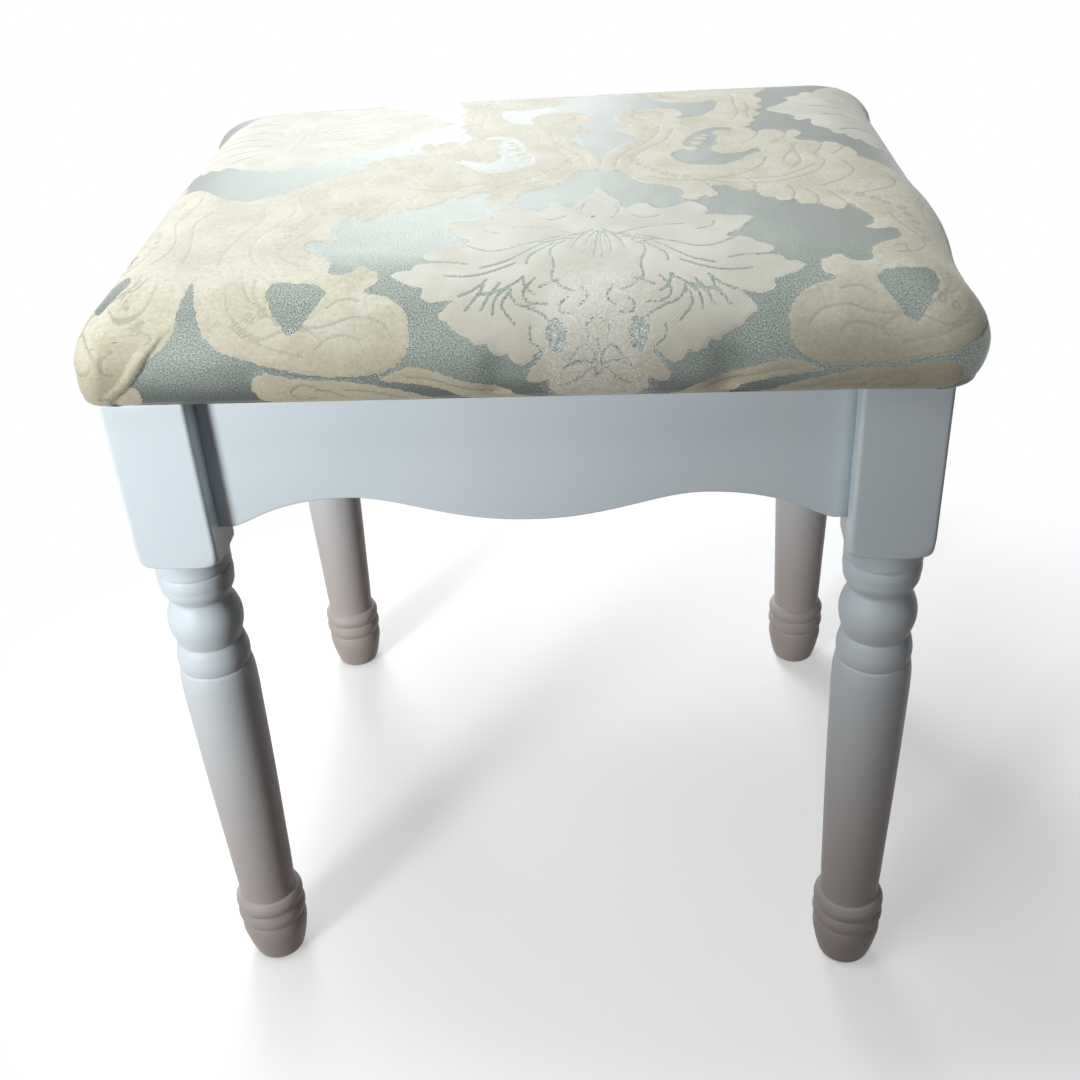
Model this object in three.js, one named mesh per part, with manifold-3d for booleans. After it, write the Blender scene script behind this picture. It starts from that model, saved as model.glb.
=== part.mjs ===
// A vanity stool: four turned legs with square blocks, four scalloped aprons, and an
// upholstered seat pad on a board. Millimetres, +Z up, origin on the floor at the middle.
import * as THREE from "three";
import { mergeVertices } from "three/addons/utils/BufferGeometryUtils.js";
import Module from "manifold-3d";

const wasm = await Module();
wasm.setup();

// Frame: leg centres and the height from the floor to the top of blocks and aprons
const legSpacingX = 346;
const legSpacingY = 290;
const frameHeight = 385.5;

// Clearances: between flat faces of wood, and round what is drilled, screwed or padded
const faceGap = 0.1;
const fitGap = 0.3;
const holeOverrun = 1;

// Leg block: the square head of each leg
const blockWidth = 40;
const blockHeight = 90;
const blockEdgeRadius = 2.5;
const blockEdgeSteps = 1;
const blockInnerFlat = 8;
const shoulderRadius = 24.5;
const shoulderRise = 6;

// Leg turning, from the block down: collar with its ball, shank, ringed foot
const collarHeight = 71.5;
const collarRadius = 19.7;
const shankTopRadius = 20.2;
const shankBottomRadius = 16.4;
const shankShoulder = 22;
const footHeight = 50;
const footRadius = 20.2;
const legSides = 24;

// The block's turned-off corners, as shares of the shoulder's rise: out and up
const blockShoulderShares = [
  [0, 0],
  [0.45, 0.3],
  [0.7, 1],
];

// The top of the shank: radius as a share of the shank's, depth of the shank's shoulder
const shankTopShares = [
  [1, 1],
  [1, 0.5],
  [0.965, 0.2],
];

// Radius and height of the collar's turning, as shares of its radius and height
const collarShares = [
  [0.93, 0],
  [0.965, 0.05],
  [0.96, 0.12],
  [0.825, 0.225],
  [0.9, 0.27],
  [0.995, 0.36],
  [0.99, 0.45],
  [0.88, 0.55],
  [0.775, 0.61],
  [0.86, 0.65],
  [0.97, 0.76],
  [0.975, 0.83],
  [0.925, 0.86],
  [0.985, 0.89],
];

// Radius and height of the foot's turning, as shares of its radius and height
const footShares = [
  [0.73, 0],
  [0.83, 0.12],
  [0.93, 0.36],
  [0.94, 0.54],
  [0.88, 0.6],
  [0.965, 0.65],
  [0.985, 0.75],
  [0.92, 0.82],
  [0.985, 0.87],
  [0.985, 0.96],
];

// Aprons: the scalloped rails between the blocks
const apronThickness = 15;
const apronHeight = 74.5;
const apronArch = 15.3;
const apronEarShare = 0.965;
const apronCrestShare = 0.56;
const apronMiddleShare = 0.1;
const apronCurveSteps = 8;
const earCurveShares = [
  [0.9, 0.03],
  [0.82, 1],
];
const dropCurveShares = [
  [0.4, 1],
  [0.26, 0.08],
];

// Dowels that join apron ends to blocks, two at each end
const dowelRadius = 4;
const dowelLength = 30;
const dowelChamfer = 0.8;
const dowelDepths = { upper: 11, lower: 54 };
const dowelSides = 8;

// Corner blocks, glued and screwed into the frame's corners
const cornerBlockThickness = 23;
const cornerBlockHeight = 44;
const cornerBlockDraw = 1.5;
const cornerBoltDepth = 24;

// Hanger bolt through each corner block into its leg, with washer and nut
const boltRadius = 4;
const boltWoodDepth = 30;
const boltTipLength = 5;
const boltTail = 4.5;
const boltEndChamfer = 0.8;
const boltCollarRadius = 3.4;
const boltCollarLength = 3;
const washerRadius = 12;
const washerThickness = 1.6;
const washerSides = 16;
const nutAcrossFlats = 13;
const nutHeight = 6.5;
const roundSides = 12;

// Screws: two from each corner block into its aprons, one up into the seat board
const blockScrew = {
  radius: 2,
  length: 18,
  headRadius: 4,
  headHeight: 2.4,
  headEdge: 1.2,
  tip: 3,
};
const blockScrewInset = 12;
const blockScrewSeat = 6.5;
const seatScrew = {
  radius: 2.1,
  headRadius: 4.4,
  headHeight: 2.6,
  headEdge: 1.3,
  tip: 3,
};
const seatScrewOffset = 13.5;
const seatScrewBiteShare = 0.7;
const screwSides = 8;

// Glide under each foot, held by its nail
const glideRadius = 11;
const glideThickness = 2;
const glideEdge = 0.8;
const glideNailRadius = 1.3;
const glideNailLength = 12;
const glideNailTip = 2.4;
const glideSides = 16;

// Seat: board, foam and cover
const boardOverhang = 0.5;
const boardThickness = 12;
const boardCornerRadius = 8;
const fabricThickness = 1.25;
const flangeWidth = 25;
const flangeCornerRadius = 8;
const dustClothThickness = 0.6;
const padBulge = 10;
const padEdgeHeight = 53.4;
const padCrown = 8.6;
const padTopInset = 26;
const padCornerRadius = 14;
const sideDraw = 3.6;
const sideDrawPower = 2;
const pleatRise = 1.8;
const pleatStart = 7.5;
const pleatReach = 30;
const pleatHeight = 34;
const pleatStep = 1.6;
const cornerSteps = 4;

// The pad's section on the side: how far it stands out, as a share of the bulge, and how
// high, as a share of the edge's height
const sideShares = [
  [0.62, 0.15],
  [0.98, 0.32],
  [0.92, 0.51],
  [0.57, 0.675],
];

// The pad's shoulder: inset as a share of the top inset, height as a share of the edge's
const shoulderShares = [
  [0.02, 0.824],
  [0.335, 0.933],
  [1, 1],
];

// Where a ring has its points between the corners: along a side, and along a pleated side
const sideStopShares = [0, 0.4, 0.75];
const pleatedStopShares = [1, 0.6, 0.3, 0];

// The crown's rings, as shares of the ring at the pad's top edge
const crownShares = [0.72, 0.4];

// Worked-out places
const blockHalf = blockWidth / 2;
const blockBottom = frameHeight - blockHeight;
const apronHalf = apronThickness / 2;
const root2 = Math.SQRT2;
const legBottom = glideThickness + faceGap;
const legFlatAt = (blockWidth - blockInnerFlat) / root2;
const cornerBlockNear = legFlatAt + cornerBlockDraw;
const cornerBlockFar = cornerBlockNear + cornerBlockThickness;
const cornerBlockWall = apronHalf + faceGap;
const cornerBlockTip = cornerBlockFar * root2 - cornerBlockWall;
const cornerBlockHeel = cornerBlockNear * root2 - cornerBlockWall;
const boltHeight = frameHeight - cornerBoltDepth;
const blockScrewAt = cornerBlockTip - blockScrewInset;
const blockScrewFloor = cornerBlockWall + blockScrewSeat;
const cornerBlockMiddle = (cornerBlockNear + cornerBlockFar) / 2;
const seatScrewX = (cornerBlockMiddle + seatScrewOffset) / root2;
const seatScrewY = (cornerBlockMiddle - seatScrewOffset) / root2;
const boardLength = legSpacingX + blockWidth + boardOverhang * 2;
const boardDepth = legSpacingY + blockWidth + boardOverhang * 2;
const boardBottom = frameHeight + faceGap + fabricThickness + faceGap;
const boardTop = boardBottom + boardThickness;
const seatScrewFoot = frameHeight - cornerBlockHeight - fitGap;
const seatScrewTip = boardBottom + boardThickness * seatScrewBiteShare;
const coverBottom = frameHeight + faceGap;
const coverOut = fitGap + fabricThickness;

const materials = {
  paint: { color: 0xd3d9da, roughness: 0.42, metalness: 0 },
  wood: { color: 0xc9a877, roughness: 0.75, metalness: 0 },
  board: { color: 0xb48d5e, roughness: 0.8, metalness: 0 },
  foam: { color: 0xe9e2c8, roughness: 0.95, metalness: 0 },
  damask: { color: 0xc9c6b4, roughness: 0.55, metalness: 0 },
  dustCloth: { color: 0x2b2b2d, roughness: 0.95, metalness: 0 },
  steel: { color: 0xb9bcc0, roughness: 0.4, metalness: 0.9 },
  plastic: { color: 0xe8e6df, roughness: 0.5, metalness: 0 },
};

const stool = new THREE.Group();

function addPiece(parent, name, geometry, material) {
  const mesh = new THREE.Mesh(geometry, new THREE.MeshStandardMaterial(materials[material]));
  mesh.name = name;
  parent.add(mesh);
  return mesh;
}

// A closed geometry as a solid that can be joined and cut
function solidOf(geometry) {
  const bare = geometry.clone();
  bare.deleteAttribute("normal");
  bare.deleteAttribute("uv");
  const merged = mergeVertices(bare);
  return new wasm.Manifold(
    new wasm.Mesh({
      numProp: 3,
      vertProperties: merged.attributes.position.array,
      triVerts: new Uint32Array(merged.index.array),
    }),
  );
}

function geometryOf(solid) {
  const mesh = solid.getMesh();
  const geometry = new THREE.BufferGeometry();
  geometry.setAttribute("position", new THREE.BufferAttribute(mesh.vertProperties, mesh.numProp));
  geometry.setIndex(new THREE.BufferAttribute(mesh.triVerts, 1));
  geometry.computeVertexNormals();
  return geometry;
}

// A profile of [radius, height] points turned about the Z axis
function turned(points, sides) {
  const profile = points.map(([radius, height]) => new THREE.Vector2(radius, height));
  return new THREE.LatheGeometry(profile, sides).rotateX(Math.PI / 2);
}

// A plain round rod along Z, from one height to another
function rod(radius, from, to, sides) {
  return turned(
    [
      [0, from],
      [radius, from],
      [radius, to],
      [0, to],
    ],
    sides,
  );
}

function alongX(geometry) {
  return geometry.rotateY(Math.PI / 2);
}

function alongY(geometry) {
  return geometry.rotateX(-Math.PI / 2);
}

function alongDiagonal(geometry) {
  return alongX(geometry).rotateZ(Math.PI / 4);
}

function cut(solid, tools) {
  return tools.reduce((left, tool) => left.subtract(solidOf(tool)), solid);
}

// A rounded rectangle drawn round the origin
function roundedRectangle(halfX, halfY, radius) {
  const shape = new THREE.Shape();
  shape.moveTo(halfX, -halfY + radius);
  shape.absarc(halfX - radius, halfY - radius, radius, 0, Math.PI / 2);
  shape.absarc(-halfX + radius, halfY - radius, radius, Math.PI / 2, Math.PI);
  shape.absarc(-halfX + radius, -halfY + radius, radius, Math.PI, (Math.PI * 3) / 2);
  shape.absarc(halfX - radius, -halfY + radius, radius, (Math.PI * 3) / 2, Math.PI * 2);
  return shape;
}

function plate(shape, bottom, thickness, curveSegments) {
  return new THREE.ExtrudeGeometry(shape, {
    depth: thickness,
    bevelEnabled: false,
    curveSegments,
  }).translate(0, 0, bottom);
}

// Screw along Z: its head's underside is at 0, the head below it and the shank above
function screwGeometry({ radius, length, headRadius, headHeight, headEdge, tip }) {
  return turned(
    [
      [0, -headHeight],
      [headRadius - headEdge, -headHeight],
      [headRadius, headEdge - headHeight],
      [headRadius, 0],
      [radius, 0],
      [radius, length - tip],
      [0, length],
    ],
    screwSides,
  );
}

// The four corners: in each, +X and +Y point along its two aprons, towards their middles
const corners = [
  { name: "front_left", sideX: -1, sideY: -1, turn: 0, apronX: "front", apronY: "left" },
  { name: "front_right", sideX: 1, sideY: -1, turn: 1, apronX: "right", apronY: "front" },
  { name: "back_right", sideX: 1, sideY: 1, turn: 2, apronX: "back", apronY: "right" },
  { name: "back_left", sideX: -1, sideY: 1, turn: 3, apronX: "left", apronY: "back" },
];

function cornerGroup({ sideX, sideY, turn }) {
  const group = new THREE.Group();
  group.position.set((sideX * legSpacingX) / 2, (sideY * legSpacingY) / 2, 0);
  group.rotation.z = (turn * Math.PI) / 2;
  stool.add(group);
  return group;
}

// Where a corner's own point lies in the stool
function fromCorner({ sideX, sideY, turn }, x, y) {
  const point = new THREE.Vector2(x, y).rotateAround(new THREE.Vector2(), (turn * Math.PI) / 2);
  return [point.x + (sideX * legSpacingX) / 2, point.y + (sideY * legSpacingY) / 2];
}

// Leg: a square block with its corners turned off at the shoulder, over the turned shaft
function legGeometry() {
  const collarBottom = blockBottom - collarHeight;
  const footTop = legBottom + footHeight;
  const profile = [
    [0, legBottom],
    ...footShares.map(([r, h]) => [r * footRadius, legBottom + h * footHeight]),
    [shankBottomRadius, footTop],
    ...shankTopShares.map(([r, h]) => [r * shankTopRadius, collarBottom - h * shankShoulder]),
    ...collarShares.map(([r, h]) => [r * collarRadius, collarBottom + h * collarHeight]),
    [collarRadius, blockBottom + shoulderRise],
    [0, blockBottom + shoulderRise],
  ];
  const outline = roundedRectangle(blockHalf, blockHalf, blockEdgeRadius);
  const block = solidOf(plate(outline, blockBottom, blockHeight, blockEdgeSteps));
  const shoulder = turned(
    [
      [0, blockBottom],
      ...blockShoulderShares.map(([out, up]) => [
        shoulderRadius + out * shoulderRise,
        blockBottom + up * shoulderRise,
      ]),
      [blockWidth, blockBottom + shoulderRise],
      [blockWidth, frameHeight],
      [0, frameHeight],
    ],
    legSides,
  );
  const flat = new THREE.BoxGeometry(blockWidth, blockWidth * 2, blockHeight + holeOverrun * 2);
  flat.translate(legFlatAt + blockHalf, 0, blockBottom + blockHeight / 2);
  flat.rotateZ(Math.PI / 4);
  let leg = block.intersect(solidOf(shoulder)).subtract(solidOf(flat));
  leg = leg.add(solidOf(turned(profile, legSides)));

  const socketEnd = blockHalf - dowelLength / 2 - fitGap;
  const sockets = Object.values(dowelDepths).flatMap((depth) => {
    const bore = rod(dowelRadius + fitGap, socketEnd, blockHalf + holeOverrun, dowelSides);
    return [alongX(bore.clone()), alongY(bore.clone())].map((socket) =>
      socket.translate(0, 0, frameHeight - depth),
    );
  });
  const boltBore = rod(
    boltRadius + fitGap,
    legFlatAt - boltWoodDepth - fitGap,
    legFlatAt + holeOverrun,
    roundSides,
  );
  const nailBore = rod(
    glideNailRadius + fitGap,
    legBottom - holeOverrun,
    glideThickness + glideNailLength + fitGap,
    screwSides,
  );
  return geometryOf(
    cut(leg, [...sockets, alongDiagonal(boltBore).translate(0, 0, boltHeight), nailBore]),
  );
}

// Glide: a domed disc with the nail that holds it, on one axis
function glideGeometry() {
  return turned(
    [
      [0, 0],
      [glideRadius - glideEdge, 0],
      [glideRadius, glideEdge],
      [glideRadius, glideThickness],
      [glideNailRadius, glideThickness],
      [glideNailRadius, glideThickness + glideNailLength - glideNailTip],
      [0, glideThickness + glideNailLength],
    ],
    glideSides,
  );
}

function dowelGeometry() {
  const start = blockHalf - dowelLength / 2;
  const end = blockHalf + dowelLength / 2;
  return turned(
    [
      [0, start],
      [dowelRadius - dowelChamfer, start],
      [dowelRadius, start + dowelChamfer],
      [dowelRadius, end - dowelChamfer],
      [dowelRadius - dowelChamfer, end],
      [0, end],
    ],
    dowelSides,
  );
}

// Corner block: a prism across the corner, bored for the bolt and its three screws
function cornerBlockGeometry() {
  const outline = new THREE.Shape([
    new THREE.Vector2(cornerBlockHeel, cornerBlockWall),
    new THREE.Vector2(cornerBlockTip, cornerBlockWall),
    new THREE.Vector2(cornerBlockWall, cornerBlockTip),
    new THREE.Vector2(cornerBlockWall, cornerBlockHeel),
  ]);
  const bottom = frameHeight - cornerBlockHeight;
  const prism = solidOf(plate(outline, bottom, cornerBlockHeight, 1));
  const boltBore = alongDiagonal(
    rod(boltRadius + fitGap, legFlatAt, cornerBlockFar + holeOverrun, roundSides),
  ).translate(0, 0, boltHeight);
  const seatBore = rod(
    seatScrew.radius + fitGap,
    bottom - holeOverrun,
    frameHeight + holeOverrun,
    screwSides,
  ).translate(seatScrewX, seatScrewY, 0);
  const screwBores = [
    rod(blockScrew.radius + fitGap, apronHalf - holeOverrun, cornerBlockTip, screwSides),
    rod(blockScrew.headRadius + fitGap, blockScrewFloor, cornerBlockTip, screwSides),
  ].flatMap((bore) => [
    alongY(bore.clone()).translate(blockScrewAt, 0, boltHeight),
    alongX(bore.clone()).translate(0, blockScrewAt, boltHeight),
  ]);
  return geometryOf(cut(prism, [boltBore, seatBore, ...screwBores]));
}

// Hanger bolt: coarse end in the leg, plain collar, machine end through the corner block
function hangerBoltGeometry() {
  const start = legFlatAt - boltWoodDepth;
  const end = cornerBlockFar + fitGap + washerThickness + fitGap + nutHeight + boltTail;
  return turned(
    [
      [0, start],
      [boltRadius, start + boltTipLength],
      [boltRadius, legFlatAt - boltCollarLength],
      [boltCollarRadius, legFlatAt - boltCollarLength],
      [boltCollarRadius, legFlatAt],
      [boltRadius, legFlatAt],
      [boltRadius, end - boltEndChamfer],
      [boltRadius - boltEndChamfer, end],
      [0, end],
    ],
    roundSides,
  );
}

function washerGeometry() {
  const near = cornerBlockFar + fitGap;
  const bore = boltRadius + fitGap;
  return turned(
    [
      [bore, near],
      [washerRadius, near],
      [washerRadius, near + washerThickness],
      [bore, near + washerThickness],
      [bore, near],
    ],
    washerSides,
  );
}

function nutGeometry() {
  const near = cornerBlockFar + fitGap + washerThickness + fitGap;
  const corner = nutAcrossFlats / Math.sqrt(3);
  const hexagon = solidOf(rod(corner, near, near + nutHeight, 6));
  const bore = rod(boltRadius + fitGap, near - holeOverrun, near + nutHeight + holeOverrun, roundSides);
  return geometryOf(cut(hexagon, [bore]));
}

// Apron: a rail with flat ears at its ends and a scalloped lower edge, drilled at its ends
// for dowels and on its inner face for the corner blocks' screws
function apronGeometry(span) {
  const half = span / 2 - blockHalf - faceGap;
  const ear = frameHeight - apronHeight;
  const at = ([x, rise], side) => [side * x * half, ear + rise * apronArch];
  const shape = new THREE.Shape();
  shape.moveTo(-half, frameHeight);
  shape.lineTo(-half, ear);
  shape.lineTo(...at([apronEarShare, 0], -1));
  shape.bezierCurveTo(
    ...at(earCurveShares[0], -1),
    ...at(earCurveShares[1], -1),
    ...at([apronCrestShare, 1], -1),
  );
  shape.bezierCurveTo(
    ...at(dropCurveShares[0], -1),
    ...at(dropCurveShares[1], -1),
    ...at([0, apronMiddleShare], -1),
  );
  shape.bezierCurveTo(
    ...at(dropCurveShares[1], 1),
    ...at(dropCurveShares[0], 1),
    ...at([apronCrestShare, 1], 1),
  );
  shape.bezierCurveTo(
    ...at(earCurveShares[1], 1),
    ...at(earCurveShares[0], 1),
    ...at([apronEarShare, 0], 1),
  );
  shape.lineTo(half, ear);
  shape.lineTo(half, frameHeight);
  const rail = plate(shape, -apronHalf, apronThickness, apronCurveSteps).rotateX(Math.PI / 2);
  const holes = [-1, 1].flatMap((side) => {
    const reach = span / 2 - blockHalf;
    const dowelHoles = Object.values(dowelDepths).map((depth) =>
      alongX(rod(dowelRadius + fitGap, -dowelLength / 2 - fitGap, dowelLength, dowelSides))
        .rotateZ(side > 0 ? 0 : Math.PI)
        .translate(side * reach, 0, frameHeight - depth),
    );
    const screwEnd = blockScrewFloor + fitGap - blockScrew.length - fitGap;
    const screwHole = alongY(
      rod(blockScrew.radius + fitGap, screwEnd, apronHalf + holeOverrun, screwSides),
    ).translate(side * (span / 2 - blockScrewAt), 0, boltHeight);
    return [...dowelHoles, screwHole];
  });
  return geometryOf(cut(solidOf(rail), holes));
}

// Legs, corner blocks and everything that holds each corner together
function buildCorner(place) {
  const group = cornerGroup(place);
  addPiece(group, `leg_${place.name}`, legGeometry(), "paint");
  addPiece(group, `foot_glide_${place.name}`, glideGeometry(), "plastic");
  addPiece(group, `corner_block_${place.name}`, cornerBlockGeometry(), "wood");
  const hardware = {
    hanger_bolt: hangerBoltGeometry(),
    washer: washerGeometry(),
    nut: nutGeometry(),
  };
  for (const [name, geometry] of Object.entries(hardware)) {
    addPiece(group, `${name}_${place.name}`, alongDiagonal(geometry), "steel").position.z = boltHeight;
  }
  for (const [level, depth] of Object.entries(dowelDepths)) {
    const height = frameHeight - depth;
    const names = [place.apronX, place.apronY].map((rail) => `dowel_${rail}_at_${place.name}_${level}`);
    addPiece(group, names[0], alongX(dowelGeometry()), "wood").position.z = height;
    addPiece(group, names[1], alongY(dowelGeometry()), "wood").position.z = height;
  }
  const headAt = blockScrewFloor + fitGap;
  const screwX = screwGeometry(blockScrew).rotateX(Math.PI / 2);
  const screwY = screwGeometry(blockScrew).rotateY(-Math.PI / 2);
  addPiece(group, `block_screw_${place.name}_to_${place.apronX}`, screwX, "steel").position.set(
    blockScrewAt,
    headAt,
    boltHeight,
  );
  addPiece(group, `block_screw_${place.name}_to_${place.apronY}`, screwY, "steel").position.set(
    headAt,
    blockScrewAt,
    boltHeight,
  );
  const seatScrewShape = { ...seatScrew, length: seatScrewTip - seatScrewFoot };
  addPiece(group, `seat_screw_${place.name}`, screwGeometry(seatScrewShape), "steel").position.set(
    seatScrewX,
    seatScrewY,
    seatScrewFoot,
  );
}

function buildAprons() {
  const rails = [
    { name: "front", span: legSpacingX, x: 0, y: -legSpacingY / 2, turn: 0 },
    { name: "right", span: legSpacingY, x: legSpacingX / 2, y: 0, turn: 1 },
    { name: "back", span: legSpacingX, x: 0, y: legSpacingY / 2, turn: 2 },
    { name: "left", span: legSpacingY, x: -legSpacingX / 2, y: 0, turn: 3 },
  ];
  for (const { name, span, x, y, turn } of rails) {
    const apron = addPiece(stool, `apron_${name}`, apronGeometry(span), "paint");
    apron.position.set(x, y, 0);
    apron.rotation.z = (turn * Math.PI) / 2;
  }
}

function seatScrewBores(radius, from, to) {
  return corners.map((place) => {
    const [x, y] = fromCorner(place, seatScrewX, seatScrewY);
    return rod(radius, from, to, screwSides).translate(x, y, 0);
  });
}

function boardGeometry() {
  const outline = roundedRectangle(boardLength / 2, boardDepth / 2, boardCornerRadius);
  const slab = solidOf(plate(outline, boardBottom, boardThickness, cornerSteps / 2));
  const bore = seatScrew.radius + fitGap;
  const bores = seatScrewBores(bore, boardBottom - holeOverrun, seatScrewTip + fitGap);
  return geometryOf(cut(slab, bores));
}

function dustClothGeometry() {
  const inset = flangeWidth + fitGap;
  const outline = roundedRectangle(
    boardLength / 2 - inset,
    boardDepth / 2 - inset,
    flangeCornerRadius,
  );
  const bottom = boardBottom - faceGap - dustClothThickness;
  const sheet = solidOf(plate(outline, bottom, dustClothThickness, cornerSteps / 2));
  const bores = seatScrewBores(seatScrew.radius + fitGap, bottom - holeOverrun, boardTop);
  return geometryOf(cut(sheet, bores));
}

// One quarter of a ring round the pad, from the middle of its right side to the middle of
// its back. Between the corners the sides draw in. Near the corner the back side carries
// the folded pleat, raised up to a step that runs diagonally away from the corner.
function quarterRing([outset, height, radius], pleated) {
  const halfX = boardLength / 2 + outset;
  const halfY = boardDepth / 2 + outset;
  const straightX = halfX - radius;
  const straightY = halfY - radius;
  const levelShare = Math.sin(Math.PI * Math.min(height / padEdgeHeight, 1)) ** 2;
  const draw = (share) => sideDraw * levelShare * (1 - share ** sideDrawPower);
  const climb = Math.min(height / pleatHeight, 1);
  const rise = pleated ? pleatRise * levelShare * (1 - climb * climb) : 0;
  const stepAt = straightX - pleatStart - (pleatReach - pleatStart) * climb;
  const points = sideStopShares.map((share) => [halfX - draw(share), share * straightY]);
  for (let i = 0; i <= cornerSteps; i += 1) {
    const share = i / cornerSteps;
    const angle = (share * Math.PI) / 2;
    const reach = radius + rise * share;
    points.push([straightX + reach * Math.cos(angle), straightY + reach * Math.sin(angle)]);
  }
  const backAt = (x) => halfY - draw(x / straightX);
  points.push([stepAt + pleatStep, backAt(stepAt + pleatStep) + rise]);
  points.push(...pleatedStopShares.map((share) => [share * stepAt, backAt(share * stepAt)]));
  return points;
}

// The whole ring, from its quarter and the quarter's mirror images
function padRing(level, pleated) {
  const quarter = quarterRing(level, pleated);
  const there = quarter.slice(0, -1);
  const back = quarter.slice(1).reverse();
  const flat = [
    ...there,
    ...back.map(([x, y]) => [-x, y]),
    ...there.map(([x, y]) => [-x, -y]),
    ...back.map(([x, y]) => [x, -y]),
  ];
  return flat.map(([x, y]) => [x, y, coverBottom + level[1]]);
}

// The pad's section from the turned-under flange to the top edge. A level is its outset
// from the board's edge, its height, and the corners' radius in plan.
function padSection() {
  const level = (outset, height) => {
    const least = coverBottom + height > boardTop ? padCornerRadius : flangeCornerRadius;
    return [outset, height, Math.max(boardCornerRadius + outset, least)];
  };
  return [
    [-flangeWidth, 0, flangeCornerRadius],
    level(fitGap, 0),
    level(coverOut, coverOut + fabricThickness),
    ...sideShares.map(([out, high]) => level(coverOut + out * padBulge, high * padEdgeHeight)),
    ...shoulderShares.map(([inset, high]) =>
      level(coverOut - inset * padTopInset, high * padEdgeHeight),
    ),
  ];
}

// The section moved inwards, square to itself, by a distance
function insideSection(section, distance) {
  return section.map(([outset, height, radius], i) => {
    const [fromOut, fromHigh] = section[Math.max(i - 1, 0)];
    const [toOut, toHigh] = section[Math.min(i + 1, section.length - 1)];
    const along = new THREE.Vector2(toOut - fromOut, toHigh - fromHigh).normalize();
    const inwards = along.y * distance;
    return [outset - inwards, height + along.x * distance, radius - inwards];
  });
}

// Smaller copies of the ring at the top edge, rising to the crown
function crownRings(topRing) {
  return crownShares.map((share) =>
    topRing.map(([x, y, z]) => [x * share, y * share, z + padCrown * (1 - share * share)]),
  );
}

// The pad's rings from the section's start up to the last one round the crown
function padRings(section, pleated) {
  const rings = section.map((level) => padRing(level, pleated));
  return [...rings, ...crownRings(rings[rings.length - 1])];
}

function crownMiddle(rings) {
  const height = rings[rings.length - crownShares.length - 1][0][2];
  return [0, 0, height + padCrown];
}

// A closed skin from one middle point, out over rings of equal length, to another
function skinGeometry(start, rings, end) {
  const positions = [start, ...rings.flat(), end].flat();
  const count = rings[0].length;
  const last = rings.length * count + 1;
  const at = (ring, i) => 1 + ring * count + (i % count);
  const triangles = [];
  for (let i = 0; i < count; i += 1) {
    triangles.push(0, at(0, i + 1), at(0, i));
    for (let ring = 1; ring < rings.length; ring += 1) {
      triangles.push(at(ring - 1, i), at(ring - 1, i + 1), at(ring, i));
      triangles.push(at(ring - 1, i + 1), at(ring, i + 1), at(ring, i));
    }
    triangles.push(at(rings.length - 1, i), at(rings.length - 1, i + 1), last);
  }
  const geometry = new THREE.BufferGeometry();
  geometry.setAttribute("position", new THREE.Float32BufferAttribute(positions, 3));
  geometry.setIndex(triangles);
  return geometry;
}

// Cover: one skin of fabric, from the inside of its crown out to the flange and back over
function coverGeometry() {
  const section = padSection();
  const outer = padRings(section, true);
  const inner = padRings(insideSection(section, fabricThickness), false);
  const path = [...[...inner].reverse(), ...outer];
  return skinGeometry(crownMiddle(inner), path, crownMiddle(outer));
}

// Foam: the pad's inside above the board, clear of the cover
function foamGeometry() {
  const inside = insideSection(padSection(), fabricThickness + fitGap);
  const base = boardTop + fitGap - coverBottom;
  const above = inside.findIndex(([, height]) => height > base);
  const [outset, , radius] = inside[above - 1];
  const rings = padRings([[outset, base, radius], ...inside.slice(above)], false);
  return skinGeometry([0, 0, boardTop + fitGap], rings, crownMiddle(rings));
}

function buildSeat() {
  addPiece(stool, "seat_board", boardGeometry(), "board");
  addPiece(stool, "dust_cloth", dustClothGeometry(), "dustCloth");
  addPiece(stool, "foam_pad", foamGeometry(), "foam");
  addPiece(stool, "damask_cover", coverGeometry(), "damask");
}

corners.forEach(buildCorner);
buildAprons();
buildSeat();

export default stool;
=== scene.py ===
"""The looks of an upholstered vanity stool: painted turned legs, scalloped aprons, damask pad.

Shapes are worked out in millimetres as whole arrays and become metres when they are meshed.
X points right, Y back and Z up, with the origin on the floor under the middle of the seat.
"""
import math

import bpy
import numpy as np
from mathutils import Matrix, Vector


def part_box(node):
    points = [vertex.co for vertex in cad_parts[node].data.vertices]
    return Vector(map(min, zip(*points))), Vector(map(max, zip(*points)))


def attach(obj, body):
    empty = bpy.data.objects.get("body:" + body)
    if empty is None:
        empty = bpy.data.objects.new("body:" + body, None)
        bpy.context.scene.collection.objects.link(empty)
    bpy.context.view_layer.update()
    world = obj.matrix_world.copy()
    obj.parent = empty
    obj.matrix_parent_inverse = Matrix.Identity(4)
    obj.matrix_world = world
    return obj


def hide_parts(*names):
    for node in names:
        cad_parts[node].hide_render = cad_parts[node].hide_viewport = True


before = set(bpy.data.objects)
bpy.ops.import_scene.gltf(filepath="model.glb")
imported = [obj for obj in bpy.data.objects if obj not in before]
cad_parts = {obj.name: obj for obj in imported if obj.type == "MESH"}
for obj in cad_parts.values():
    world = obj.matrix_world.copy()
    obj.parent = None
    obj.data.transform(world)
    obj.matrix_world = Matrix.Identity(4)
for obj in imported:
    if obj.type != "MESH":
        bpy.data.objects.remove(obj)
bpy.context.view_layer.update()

MM = 0.001
TINY = 1e-9
FAR = 1e9
CORNERS = {
    "front_left": (-1, -1),
    "front_right": (1, -1),
    "back_right": (1, 1),
    "back_left": (-1, 1),
}


def box_mm(node):
    """Lowest and highest corner of a CAD node, in millimetres."""
    low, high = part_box(node)
    return np.array(low) / MM, np.array(high) / MM


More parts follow.
